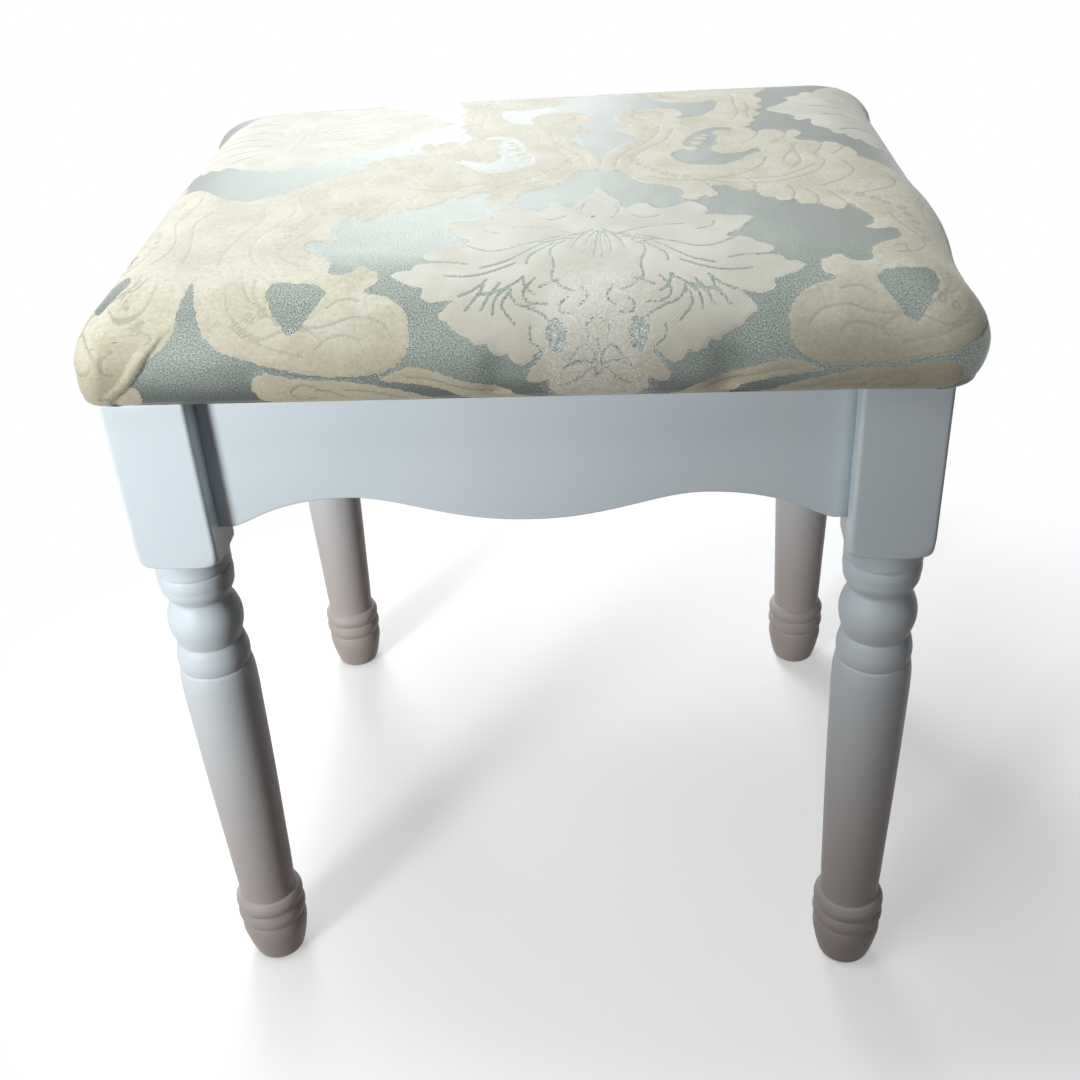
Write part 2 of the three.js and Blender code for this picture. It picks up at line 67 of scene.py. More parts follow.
# The frame's places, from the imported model
leg_low, leg_high = box_mm("leg_front_right")
board_low, board_high = box_mm("seat_board")
BLOCK_HALF = (leg_high[0] - leg_low[0]) / 2
LEG_X = (leg_high[0] + leg_low[0]) / 2
LEG_Y = -(leg_high[1] + leg_low[1]) / 2
LEG_BOTTOM = leg_low[2]
FRAME_TOP = leg_high[2]
PAD_BOTTOM = box_mm("damask_cover")[0][2]
dust_low, dust_high = box_mm("dust_cloth")
RAIL_INSIDE = -box_mm("apron_front")[1][1], -box_mm("apron_left")[1][0]

# Leg block, and the columns round it: from, to and number, over a face and over a corner
BLOCK_BOTTOM = 295.5
BLOCK_EDGE = 2.2
BLOCK_INNER_FLAT = 22.6
SHOULDER_RADIUS, SHOULDER_SPREAD, SHOULDER_RISE, SHOULDER_RINGS = 24.5, 4.6, 7.0, 9
SPREAD_POWER, RISE_POWER, SHARP_JOIN = 0.8, 1.6, -24.0
BODY_START, BODY_RINGS = 3.0, 12
TOP_EDGE = 0.8
TOP_RINGS = (0.8, 0.4)
FACE_ANGLES, CORNER_ANGLES = (-40, 39, 22), (41, 49, 12)

# Apron's lower edge: heights of the crest and of the middle drop over the ears
EDGE_ROUND = 1.2
ARCH_RISE = 15.3
EAR_SHARE, CREST_SHARE, MIDDLE_RISE_SHARE = 0.965, 0.56, 0.1
EAR_CURVE_SHARES = ((0.9, 0.03), (0.82, 1.0))
DROP_CURVE_SHARES = ((0.4, 1.0), (0.26, 0.08))
EAR_STOPS, DROP_STOPS = 26, 34

# Turned profile: longest step and most stops along a stretch, then the stretches from the
# foot up (radius, height, swell of the stretch up to the next)
TURNED_STEP, TURNED_STOPS = 0.6, 40
FOOT_PROFILE = (
    (13.4, 0.0, 0.3),
    (14.9, 1.4, 0.35),
    (18.6, 17.0, 0.55),
    (18.9, 27.0, 0.25),
    (17.7, 28.6, 0.0),
    (19.1, 30.0, 0.95),
    (19.2, 38.2, 0.1),
    (18.0, 39.5, 0.0),
    (19.2, 40.8, 1.0),
    (18.6, 48.2, 0.35),
    (16.5, 49.6, 0.0),
)
SHANK_PROFILE = (
    (16.4, 54.0, 0.1),
    (17.5, 88.0, 0.25),
    (20.1, 195.0, 0.1),
    (20.2, 211.0, 0.25),
    (19.2, 220.5, 0.25),
    (18.1, 222.3, 0.0),
)
COLLAR_PROFILE = (
    (18.9, 223.6, 0.55),
    (18.5, 233.0, 0.45),
    (16.2, 238.0, 0.0),
    (16.9, 239.0, 3.3),
    (15.5, 264.3, 0.0),
    (15.3, 266.0, 0.2),
    (16.6, 268.0, 0.75),
    (19.0, 275.2, 0.3),
    (19.1, 281.4, 0.3),
    (18.0, 282.9, 0.0),
    (19.3, 284.0, -0.25),
    (19.9, 293.4, 0.0),
)

# Pad, in millimetres over its underside
LIP_X, LIP_Y = 195.0, 166.8
BULGE = 7.0
WIDE_HEIGHT = 20.0
SHOULDER_RISE_PAD = 33.5
SHOULDER_REACH, SHOULDER_POWER = 50.0, 2.8
CROWN = 7.5
LIP = 1.6
FLANGE = 25.0
CORNER_TOP, CORNER_WIDE, CORNER_LIP = 14.0, 20.0, 9.5
EAR_HEIGHT, EAR_REACH = 20.0, 22.0
EAR_LEFT, EAR_RIGHT, EAR_FOOT_LEFT, EAR_FOOT_RIGHT = 5.6, 5.8, 0.0, 0.25
LEFT_SET, LEFT_SKEW, BACK_LEFT_OUT, BACK_LEFT_START = 0.4, 0.045, 4.0, 0.55
RIGHT_BULGE, RIGHT_PLACE, RIGHT_WIDTH = 5.2, -55.0, 42.0
BACK_RIGHT_IN, BACK_RIGHT_END = 2.8, 0.85
LEAN_RUN = 20.0
CROWN_INSET = 10.0
BACK_DROP, DROP_START = 6.5, -0.2
CLOTH_STEP = 1.15

# Stops along the pad's section (shoulder, tuck, lip, flange), which crowd at the rim
SECTION_STOPS = (200, 80, 16, 30)
STOP_CROWDING = 1.4

# Corner creases: the seam's line, the fold's band and groove beside it, and the hollow past it
CREASE_FOOT, CREASE_SLOPE, CREASE_BAND, CREASE_FADE = 2.0, 0.66, 6.0, (26.0, 42.0)
GROOVE_DEPTH, GROOVE_WIDTH, BAND_RISE = 0.5, 0.9, 0.7
CREASE_SINK, CREASE_SPREAD = 1.2, 11.0

# Dimples along the hem: (place, width, depth), the heights they span and where a face begins
HEM_DIMPLES = ((-118.0, 9.0, 1.0), (-7.0, 7.0, 2.6), (94.0, 9.5, 5.0))
SIDE_DIMPLES = ((-96.0, 9.0, 1.4), (4.0, 11.0, 1.0), (88.0, 8.0, 1.6))
DIMPLE_FOOT, DIMPLE_FADE = (0, 6), (11, 38)
FACE_RUN = 20.0

# Woven relief: the leaves, the rim inside their edge and the veins
MOTIF_RISE, MOTIF_EDGE = 0.16, 0.8
MOTIF_RIM, RIM_PLACE, RIM_WIDTH = 0.1, 1.4, 1.0
VEIN_DEPTH, VEIN_WIDTH = 0.22, 0.8

# The cover's inside round the board
BOARD_ROOM, BOARD_GAP, BOARD_CORNER = 0.3, 0.25, 8.0

# Dust cloth: thickness, sag in the middle, puckers between its staples, rounded corners, lift
# over the solid's underside, where a fold starts and is full, and the squares of its grid
DUST_THICKNESS, DUST_SAG, DUST_PUCKER, DUST_CORNER = 0.45, 1.3, 0.5, 12.0
DUST_LIFT = 0.1
DUST_FOLD = (6, 22)
DUST_GRID = (240, 200)
STAPLE_PITCH, STAPLE_INSET, STAPLE_CORNER = 31.0, 6.0, 44.0
STAPLE_CROWN, STAPLE_WIRE, STAPLE_BEND, STAPLE_SIDES = 10.0, 0.55, 0.8, 8

# Damask: half a repeat, to the right of the axis that runs through the palmette
PATTERN_AXIS, PATTERN_HALF = 37.0, 180.0
PATTERN_LOW, PATTERN_HIGH = -215.0, 215.0
PATTERN_GRID = 0.5
CORNER_CUT = 0.18
VEIN_STRETCHES = 4
VEIN_REACH = 3
PEARL_STRETCH, PEARL_RADIUS = 0.8, 1.6
KIND_LIMIT, NO_VEIN, OFF_MOTIF = 4, 50, -5.0
LACE_ACROSS, LACE_ALONG = (6, 36), (36, 92)

# How far the cloth is pulled askew at the left, and where each pull sets in and ends
PULL_ACROSS, PULL_ALONG, LEFT_EDGE_PULL, LEFT_CORNER_PULL = 8.0, 10.5, 16.0, 8.0
PULL_PLACES = (0, 90), (-100, 0)
EDGE_PLACES = (150, 190), (60, 110), (165, 185)
CORNER_PLACES = (150, 195), (165, 190)

# The motifs' outlines, veins and pearls, in the cloth's own flat millimetres

SCROLL_BODY = (
    (38, -36), (37, -28), (38, -18), (41, -8), (45, 0), (50, 8), (54, 15), (57, 22), (54, 27), (48, 31),
    (44, 36), (48, 42), (52, 44), (51, 49), (47, 53), (44, 60), (44, 68), (47, 77), (52, 83), (59, 86),
    (66, 88), (73, 87), (78, 84), (81, 78), (82, 72), (80, 66), (77, 61), (83, 62), (88, 64), (93, 68),
    (97, 75), (100, 82), (102, 90), (103, 100), (101, 107), (97, 103), (90, 102), (80, 104), (73, 104),
    (69, 109), (65, 118), (62, 130), (61, 145), (64, 162), (72, 176), (88, 185), (104, 184), (120, 176),
    (131, 164), (136, 150), (135, 140), (133, 130), (128, 122), (125, 115), (129, 107), (129, 99),
    (125, 94), (128, 87), (126, 81), (122, 78), (126, 72), (124, 65), (120, 61), (122, 55), (118, 49),
    (118, 45), (114, 41), (111, 38), (114, 39), (117, 36), (119, 30), (120, 25), (122, 33), (126, 35.5),
    (131, 34.5), (134, 31), (135, 26), (137, 33), (140, 36), (143, 33), (144, 28), (142, 23), (139, 20),
    (141, 15), (146, 14.5), (150, 13), (152, 8), (154, 13), (158, 12.5), (162, 9), (163, 5), (166, 6),
    (167.5, 1), (169, -5), (167, -9), (173, -13), (178, -15), (182, -19), (187, -24), (195, -35),
    (205, -45), (217, -52), (222, -54), (222, -146), (217, -146), (214, -160), (211, -175), (204, -183),
    (192, -187), (184, -190), (172, -193), (160, -195.5), (150, -196), (140, -196), (130, -193.5),
    (125, -191), (121, -187), (119, -182), (118.5, -175), (120, -168), (124, -163), (130, -160),
    (138, -158.5), (139, -156), (134, -154), (133, -150), (134, -146), (138, -144), (140, -142),
    (143, -142), (145, -146), (150, -147.5), (156, -147), (155.5, -141), (157, -136), (161, -132),
    (165, -129), (170, -125), (172, -120), (171, -115), (169, -112), (165, -115), (160, -116.5),
    (156.5, -114), (159, -111), (162, -107), (162, -102), (160, -96), (157, -90), (155, -84), (153, -84),
    (151, -90), (149, -92), (145, -91), (142, -88), (140, -83), (136, -85), (131, -84.5), (129, -76),
    (127, -81.5), (122, -80), (119, -76), (115, -76), (113, -70), (112, -64), (109, -67.5), (105, -67),
    (102, -64), (99, -60), (95, -60), (90, -60), (92, -66), (94, -73), (90, -76.5), (87, -72), (84, -78.5),
    (79, -79), (76, -75), (78, -70), (77, -66), (74, -63), (69, -60), (59, -56), (54, -51), (51, -44),
    (48, -37), (46, -34), (43, -38),
)
SCROLL_POCKET = (
    (108, 38), (100, 41), (95, 38), (90, 33), (86, 27), (83, 20), (80, 12), (79, 5), (82, 1), (78, -3),
    (74, -8), (73, -14), (75, -20), (79, -26), (86, -29), (94, -30), (100, -28), (105, -24), (109, -19),
    (112, -13), (116, -9), (119, -8), (120, -4), (118, -1), (115, -2), (111, -7), (106, -10), (100, -11),
    (96, -8), (94, -3), (95, 3), (98, 7), (97, 13), (99, 19), (97, 25), (96, 30), (99, 34), (104, 33),
    (106, 31),
)
HEAD_POCKET = (
    (155, -157), (160, -153), (165, -152), (172, -152), (178, -150), (181, -153), (183, -158),
    (181, -162), (178, -168), (175, -173), (172, -178), (168, -176), (164, -171), (160, -165), (157, -160),
)
PALMETTE = (
    (37, -60), (41, -70), (47, -79), (46, -84), (50, -88), (54, -83), (60, -82), (62, -88), (66, -90),
    (72, -88), (76, -84), (80, -81), (84, -84), (87.5, -88), (87.5, -93), (85, -99), (88, -97), (93, -97),
    (99, -99), (104, -98), (108, -100), (106.5, -105), (103, -110), (101, -115), (97, -118), (94, -123),
    (97, -124), (101, -123), (105, -124.5), (107.5, -130), (112, -132), (115, -136), (112, -139.5),
    (105, -142), (110, -141), (117, -142), (119, -146), (124, -146.5), (128, -149), (125, -152),
    (119, -155), (112, -157), (114, -161), (110, -163.5), (104, -163.5), (97, -161.5), (102, -165.5),
    (106, -171), (101, -174), (97, -178), (92, -181), (88, -184), (85, -181.5), (84, -186), (79.5, -189),
    (76, -186.5), (74, -191), (70, -193), (66, -190), (62, -186), (59, -184), (62, -190), (67, -195),
    (69, -200), (64, -202), (58, -199.5), (59, -204), (56, -209), (50, -216), (44, -225), (30, -225),
    (30, -70),
)
SIDE_PALMETTE = (
    (222, -2), (217, 0), (205, 6), (196, 10), (190, 16), (186, 21), (182, 16), (177, 22), (175, 26),
    (172, 20.5), (169, 25), (167.5, 31), (164.5, 28), (161, 31), (160, 37), (157, 41), (152.5, 44),
    (151, 50), (153, 57), (149.5, 58), (146, 53.5), (142.5, 58), (144.5, 64), (141, 68), (136, 71),
    (131, 76), (129, 81), (134, 86), (138, 91), (141, 96), (145, 101), (142, 107), (146, 110.5),
    (151, 112), (153, 119), (157, 121.5), (161, 118), (163, 126), (170, 133), (176, 142), (181, 154),
    (190, 166), (202, 173), (217, 178), (222, 178),
)
SPRAY_LONG = (
    (68, -212), (80, -205), (88, -202), (96, -200), (103, -197), (110, -194), (117, -192), (123, -193),
    (130, -196), (135, -198), (126, -199.5), (118, -200.5), (108, -203), (100, -207), (92, -216),
    (66, -219),
)
SPRAY_SHORT = (
    (106, -216), (114, -208), (122, -205), (130, -202.5), (140, -200), (150, -198), (162, -197.5),
    (175, -196), (184, -193), (190, -196), (192, -202), (188, -210), (180, -218),
)
POCKET_BUDS = ((87, 9, 3.4), (83.5, -1, 3.6), (90, 17, 2.6), (92, 23, 2.2))
PALMETTE_POCKET = ((50, -177), (53, -172), (57, -173), (60, -177), (58, -184), (55, -188), (51, -185))
VEINS = (
    # palmette: upper and side leaves
    ((102, -119), (97, -125), (89, -131), (83, -132.5), (78, -131), (72, -128), (63, -123), (54, -119)),
    ((48, -121), (56, -123), (64, -128.5), (71, -136), (78, -142), (88, -146)),
    ((56, -125), (62, -132), (67, -138), (68, -144)),
    ((52, -124), (57, -130), (58, -136), (56, -144), (57, -153)),
    ((45, -118), (54, -113), (64, -109), (76, -108)),
    ((82, -114), (88, -111), (90, -105)),
    ((50, -121), (60, -124), (72, -127)),
    ((118, -139.5), (110, -140.5), (101, -141), (94, -143)),
    ((104, -150), (95, -151), (86, -149.5), (78, -146), (73, -143)),
    ((97, -161.5), (90, -158), (85, -153)),
    ((44, -82), (46, -91), (43, -99)),
    ((52, -96), (58, -100), (65, -98)),
    # palmette: fan over its heart
    ((37, -114), (38, -127), (39, -140)),
    ((39, -115), (42, -125), (43, -136)),
    ((41, -115), (46, -122), (49, -132)),
    ((39, -112), (45, -117), (52, -119)),
    # palmette: lower lobes
    ((69, -152), (72, -155), (77, -158), (83, -160), (88, -161), (91, -164), (94, -168)),
    ((69, -152), (68, -158), (64, -161)),
    ((86, -156), (88, -160), (91, -164)),
    ((79, -155), (84, -162), (87, -168)),
    ((75, -157), (81, -163), (82, -170)),
    ((74, -159), (78, -165), (76, -170), (72, -175)),
    ((75, -160), (72, -165), (65, -168), (60, -171), (57, -175)),
    ((64, -153), (67, -157), (69, -161), (66, -165), (58, -166)),
    ((53, -154), (58, -156), (62, -158)),
    ((57, -153), (52, -158), (47, -160)),
    # palmette: curls and star at its foot
    ((49, -163), (53, -166), (52, -170), (47, -170)),
    ((44, -158), (41, -163), (45, -167)),
    ((61, -186), (66, -181), (66, -176)),
    ((37, -181), (38, -190), (38, -199)),
    ((38, -189), (43, -184), (49, -190)),
    ((39, -192), (45, -191), (52, -194)),
    ((40, -194), (45, -199), (51, -203)),
    ((38, -172), (42, -176), (41, -181)),
    # scrolling leaves: stems and midribs
    ((129, -24), (131, -14), (134, -7), (137, 1), (139, 10)),
    ((152, 8), (150, 0), (147, -8)),
    ((163, 5), (160, -2), (156, -8)),
    ((120, 25), (117, 17), (110, 8)),
    ((135, 26), (133, 18), (127, 11)),
    ((136, 9), (137, -6), (138, -22), (132, -34)),
    ((101, -49), (116, -49), (126, -46), (136, -37), (145, -25)),
    ((129, -76), (130, -68), (128, -60)),
    ((140, -83), (140, -73), (136, -64)),
    ((112, -64), (112, -56), (108, -50)),
    ((153, -84), (150, -75), (146, -66)),
    ((90, -60), (88, -54), (84, -50)),
    ((146, -8), (150, -20), (146, -34), (136, -46), (122, -54), (104, -56), (90, -52)),
    ((62, -46), (72, -51), (84, -52), (98, -48), (110, -40), (118, -28), (121, -16)),
    ((44, -30), (45, -20), (48, -10), (55, 2), (62, 14), (66, 28), (68, 44)),
    ((52, -26), (54, -14), (60, -2), (68, 10), (73, 24), (75, 38)),
    ((160, -20), (162, -34), (156, -48), (144, -60)),
    ((176, -30), (178, -44), (172, -58), (160, -70)),
    ((188, -34), (190, -48), (186, -62)),
    ((100, 44), (92, 40), (84, 44), (80, 52)),
    ((108, 56), (112, 68), (113, 82), (112, 96), (113, 110), (110, 124)),
    ((118, 60), (118, 72), (120, 84), (119, 98)),
    ((124, 82), (118, 78), (113, 72)),
    ((128, 122), (120, 124), (112, 130), (104, 140)),
    ((60, 60), (54, 66), (54, 74), (60, 79), (67, 79), (71, 74), (69, 68)),
    ((70, 130), (74, 118), (84, 112), (92, 114), (94, 122)),
    ((74, 146), (82, 160), (94, 168), (108, 164), (118, 152), (120, 138)),
    # stem and its round head
    ((170, -92), (172, -102), (178, -112), (182, -124), (176, -136), (166, -140)),
    ((190, -60), (186, -76), (190, -92), (196, -108), (196, -124), (190, -138)),
    ((166, -134), (172, -131), (171, -140)),
    ((204, -64), (200, -82), (204, -100), (208, -118), (208, -136)),
    ((126, -178), (131, -172), (137, -170), (144, -169.5), (151, -172), (158, -173.5), (166, -173)),
    ((174, -171), (180, -168), (185, -162), (188, -156), (188, -149)),
    ((140, -182), (141, -179), (145, -177.5), (150, -177.5), (155, -179), (160, -183)),
    ((158, -179), (161, -176), (168, -174), (175, -175), (184, -178), (193, -173), (199, -164), (201, -153)),
    ((140, -162), (148, -161), (155, -165)),
    ((166, -186), (178, -183), (190, -178), (198, -172)),
    ((184, -164), (190, -160), (194, -150)),
    # sprays along the hem
    ((84, -207), (98, -203), (112, -198), (122, -197)),
    ((122, -210), (136, -205), (150, -203)),
    ((160, -203), (168, -200), (174, -204), (170, -209), (163, -208)),
    ((150, -208), (156, -204), (163, -203)),
    # second palmette
    ((200, 60), (188, 66), (174, 70), (160, 70)),
    ((198, 52), (184, 50), (172, 44), (166, 38)),
    ((202, 44), (192, 36), (186, 28)),
    ((203, 70), (190, 80), (174, 86), (154, 88)),
    ((206, 78), (198, 92), (184, 100), (166, 102)),
    ((208, 90), (202, 108), (190, 120), (176, 126)),
    ((217, 40), (217, 100)),
)
PEARLS = (
    (53, -14), (54.5, -20), (57, -26), (60.5, -31.5), (64.5, -36.5), (69, -41), (74, -44.5), (80, -46.5),
    (154, -68), (160, -71), (166, -75), (170, -80), (176, -83), (178, -90), (181, -98), (182, -107),
    (184, -116), (176, -170), (183, -166.5), (189, -169),
)

# A dark speck in the upper palmette, on the cloth
SPECK = (34.5, -98.0, 0.0)

# The floor's shading: its middle, where it fades to white, its own glow; and the room's glow
FLOOR_MIDDLE = (130, 64, 0)
FLOOR_FADE = (400, 640)
FLOOR_GLOW = 0.4
FLOOR_REACH = 4000.0
AMBIENT = 0.04

# The photograph's camera
CAMERA_PLACE = (0.05341, -0.69972, 0.65314)
CAMERA_PITCH, CAMERA_ROLL, CAMERA_YAW = -0.5700490, -0.0623822, 0.0877322
CAMERA_LENS, CAMERA_SENSOR = 44.469, 36.0


def joining(operation, turned=False):
    """A method that joins a socket and another value through a Math node."""
    def join(self, other):
        first, second = (other, self) if turned else (self, other)
        return self.shader.node("ShaderNodeMath", {"operation": operation}, {0: first, 1: second})

    return join


class Socket:
    """A shader value that Python's operators join to others through Math nodes."""

    __add__, __radd__ = joining("ADD"), joining("ADD", True)
    __sub__, __rsub__ = joining("SUBTRACT"), joining("SUBTRACT", True)
    __mul__, __rmul__ = joining("MULTIPLY"), joining("MULTIPLY", True)
    most = joining("MAXIMUM")

    def __init__(self, shader, socket):
        self.shader = shader
        self.socket = socket

    def __abs__(self):
        return self.shader.node("ShaderNodeMath", {"operation": "ABSOLUTE"}, {0: self})

    def wave(self):
        return self.shader.node("ShaderNodeMath", {"operation": "SINE"}, {0: self})

    def part(self, axis):
        """The X, Y or Z value, for an axis of 0, 1 or 2."""
        return self.shader.node("ShaderNodeSeparateXYZ", values={0: self}, output=axis)

    def apart(self, point):
        """The distance from a point."""
        ends = {0: self, 1: point}
        return self.shader.node("ShaderNodeVectorMath", {"operation": "DISTANCE"}, ends, 1)

    def rise(self, start, end):
        """0 below start, 1 above end, and a smooth step between them."""
        settings = {"interpolation_type": "SMOOTHSTEP"}
        values = {"Value": self, "From Min": start, "From Max": end}
        return self.shader.node("ShaderNodeMapRange", settings, values)


class Nodes:
    """A node tree, filled by type of node, with its settings and the values of its sockets."""

    def __init__(self, owner):
        owner.use_nodes = True
        self.tree = owner.node_tree

    def node(self, kind, settings=None, values=None, output=0):
        made = self.tree.nodes.new(kind)
        for key, value in (settings or {}).items():
            setattr(made, key, value)
        for key, value in (values or {}).items():
            self.feed(made.inputs[key], value)
        return Socket(self, made.outputs[output])

    def feed(self, socket, value):
        if isinstance(value, Socket):
            self.tree.links.new(value.socket, socket)
        else:
            socket.default_value = value

    def sight(self):
        """1 for rays of sight, reflection and transmission, and 0 for scattered light."""
        kinds = ("Camera", "Glossy", "Transmission")
        camera, glossy, through = (
            self.node("ShaderNodeLightPath", output=f"Is {kind} Ray") for kind in kinds
        )
        return camera.most(glossy).most(through)


class Shader(Nodes):
    """One material and its finish."""

    def __init__(self, name):
        self.material = bpy.data.materials.new(name)
        super().__init__(self.material)
        self.principled = self.tree.nodes["Principled BSDF"]

    def surface(self, **values):
        """Sets the finish: plain numbers stay on the sockets, changing ones are linked."""
        for key, value in values.items():
            self.feed(self.principled.inputs[key.replace("_", " ")], value)

    def place(self, scale=(1, 1, 1)):
        """Object coordinates in millimetres, stretched by a scale."""
        where = self.node("ShaderNodeTexCoord", output=3)
        values = {"Vector": where, "Scale": tuple(share / MM for share in scale)}
        return self.node("ShaderNodeMapping", {"vector_type": "POINT"}, values)

    def noise(self, where, scale, detail=2.0, roughness=0.5, distortion=0.0):
        values = {"Vector": where, "Scale": scale, "Detail": detail}
        values.update(Roughness=roughness, Distortion=distortion)
        return self.node("ShaderNodeTexNoise", values=values)

    def attribute(self, name):
        return self.node("ShaderNodeAttribute", {"attribute_name": name}, output=2)

    def mix(self, share, first, second):
        """A colour that goes from the first to the second as the share goes from 0 to 1."""
        values = {"Factor": share, 6: first, 7: second}
        return self.node("ShaderNodeMix", {"data_type": "RGBA"}, values, 2)

    def bump(self, height, strength, distance_mm, under=None):
        values = {"Height": height, "Strength": strength, "Distance": distance_mm * MM}
        if under is not None:
            values["Normal"] = under
        return self.node("ShaderNodeBump", values=values)


def linear(red, green, blue):
    """A colour given as 0 to 255 screen values, as the linear values that shaders use."""
    def one(value):
        share = value / 255
        return share / 12.92 if share <= 0.04045 else ((share + 0.055) / 1.055) ** 2.4

    return (one(red), one(green), one(blue), 1.0)


def mesh_piece(name, points, faces, material, smooth=True):
    """A mesh from points in millimetres and a list of face arrays, each of one face size."""
    mesh = bpy.data.meshes.new(name)
    sizes = np.concatenate([np.full(len(part), part.shape[1]) for part in faces])
    corners = np.concatenate([part.ravel() for part in faces]).astype(np.int32)
    starts = np.concatenate([[0], np.cumsum(sizes)[:-1]]).astype(np.int32)
    mesh.vertices.add(len(points))
    mesh.vertices.foreach_set("co", (np.asarray(points) * MM).astype(np.float32).ravel())
    mesh.loops.add(len(corners))
    mesh.loops.foreach_set("vertex_index", corners)
    mesh.polygons.add(len(sizes))
    mesh.polygons.foreach_set("loop_start", starts)
    mesh.polygons.foreach_set("use_smooth", np.full(len(sizes), smooth))
    mesh.update(calc_edges=True)
    mesh.materials.append(material)
    made = bpy.data.objects.new(name, mesh)
    bpy.context.scene.collection.objects.link(made)
    return made


def grid_quads(rows, columns):
    """Quads of an open grid, which face up when its rows run in Y and its columns in X."""
    i, j = np.meshgrid(np.arange(rows - 1), np.arange(columns - 1), indexing="ij")
    here = i * columns + j
    return np.stack([here, here + 1, here + columns + 1, here + columns], -1).reshape(-1, 4)


def rim_loop(rows, columns):
    """Indices of a grid's outermost points, in order round it, seen from above anticlockwise."""
    index = np.arange(rows * columns).reshape(rows, columns)
    return np.concatenate([index[0, :-1], index[:-1, -1], index[-1, :0:-1], index[:0:-1, 0]])


def tube_faces(rows, columns):
    """Quads of a grid whose columns close round, and the fans at its two poles.

    The first and the last point are the poles and the rows lie between them in order.
    """
    i, j = np.meshgrid(np.arange(rows - 1), np.arange(columns), indexing="ij")
    here = 1 + i * columns + j
    beside = 1 + i * columns + (j + 1) % columns
    quads = np.stack([here, beside, beside + columns, here + columns], -1).reshape(-1, 4)
    ring = np.arange(columns)
    after = (ring + 1) % columns
    top = 1 + (rows - 1) * columns
    low_fan = np.stack([np.zeros(columns, int), 1 + after, 1 + ring], -1)
    high_fan = np.stack([np.full(columns, top + columns), top + ring, top + after], -1)
    return [quads, np.concatenate([low_fan, high_fan])]


def smooth_step(start, end, value):
    """0 below start, 1 above end, and 3s² - 2s³ between them."""
    share = np.clip((value - start) / (end - start), 0, 1)
    return share * share * (3 - 2 * share)


def between_poles(rings):
    """The points of rings in order, between the middles of the first and the last ring."""
    return np.concatenate([rings[0].mean(0)[None], rings.reshape(-1, 3), rings[-1].mean(0)[None]])


def bell(value, width):
    """1 at 0, falling off on both sides as e to the power of minus the squared share."""
    return np.exp(-((value / width) ** 2))


def swelling_line(stops):
    """Points along straight stretches, each pushed out by its swell times a half sine."""
    line = []
    for (radius, height, swell), (to_radius, to_height, _) in zip(stops[:-1], stops[1:]):
        start = np.array([radius, height])
        way = np.array([to_radius, to_height]) - start
        span = math.hypot(*way)
        count = max(1, min(TURNED_STOPS, round(span / TURNED_STEP)))
        share = (np.arange(count) / count)[:, None]
        outwards = np.array([way[1], -way[0]]) / span
        line.append(start + share * way + swell * np.sin(np.pi * share) * outwards)
    line.append(np.array([stops[-1][:2]], float))
    return np.concatenate(line)


def block_angles():
    """Angles round a leg, closer together at the square block's corners."""
    quarter = np.concatenate([np.linspace(*FACE_ANGLES), np.linspace(*CORNER_ANGLES)])
    return np.radians(np.concatenate([quarter + 90 * k for k in range(4)]))


def square_reach(angle):
    """How far the block's outline lies from its middle: a square with rounded corners."""
    turn = np.abs((angle + np.pi / 4) % (np.pi / 2) - np.pi / 4)
    flat = BLOCK_HALF / np.cos(turn)
    centre = BLOCK_HALF - BLOCK_EDGE
    towards = centre * (np.cos(turn) + np.sin(turn))
    arc = towards + np.sqrt(np.maximum(towards**2 - 2 * centre**2 + BLOCK_EDGE**2, 0))
    on_corner = BLOCK_HALF * np.tan(turn) > centre
    return np.where(on_corner, arc, flat)


def leg_points(side_x, side_y):
    """A leg as rings: each is the turned radius, cut off by the square block over the collar.

    The block's corner that faces the stool's middle is planed flat for the corner block.
    Where the turned shoulder meets the block, the two join by the sum of their high
    negative powers, which follows the smaller one and rounds the crossing a little.
    """
    turned = swelling_line(FOOT_PROFILE + SHANK_PROFILE + COLLAR_PROFILE)
    turned[:, 1] += LEG_BOTTOM
    angle = block_angles()
    facing = np.cos(angle - math.atan2(-side_y, -side_x))
    planed = np.where(facing > 0.5, BLOCK_INNER_FLAT / np.maximum(facing, 0.5), np.inf)
    reach = np.minimum(square_reach(angle), planed)
    rise = np.linspace(0, 1, SHOULDER_RINGS)
    shoulder = SHOULDER_RADIUS + SHOULDER_SPREAD * rise**SPREAD_POWER
    head = (shoulder[:, None] ** SHARP_JOIN + reach**SHARP_JOIN) ** (1 / SHARP_JOIN)
    body_foot = BLOCK_BOTTOM + SHOULDER_RISE + BODY_START
    body_heights = np.linspace(body_foot, FRAME_TOP - TOP_EDGE, BODY_RINGS)
    turn = np.linspace(0, np.pi / 2, 5)[1:]
    edge = reach - TOP_EDGE * (1 - np.cos(turn))[:, None]
    body = np.repeat(reach[None], BODY_RINGS, 0)
    inner_top = edge[-1] * np.array(TOP_RINGS)[:, None]
    round_part = np.repeat(turned[:, :1], len(angle), 1)
    radii = np.concatenate([round_part, head, body, edge, inner_top])
    head_heights = BLOCK_BOTTOM + SHOULDER_RISE * rise**RISE_POWER
    edge_heights = FRAME_TOP - TOP_EDGE * (1 - np.sin(turn))
    top = [FRAME_TOP, FRAME_TOP]
    heights = np.concatenate([turned[:, 1], head_heights, body_heights, edge_heights, top])
    x = side_x * LEG_X + radii * np.cos(angle)
    y = side_y * LEG_Y + radii * np.sin(angle)
    rings = np.stack([x, y, np.broadcast_to(heights[:, None], radii.shape)], -1)
    foot, crown = ([[side_x * LEG_X, side_y * LEG_Y, z]] for z in (turned[0, 1], FRAME_TOP))
    points = np.concatenate([foot, rings.reshape(-1, 3), crown])
    return points, tube_faces(len(heights), len(angle))


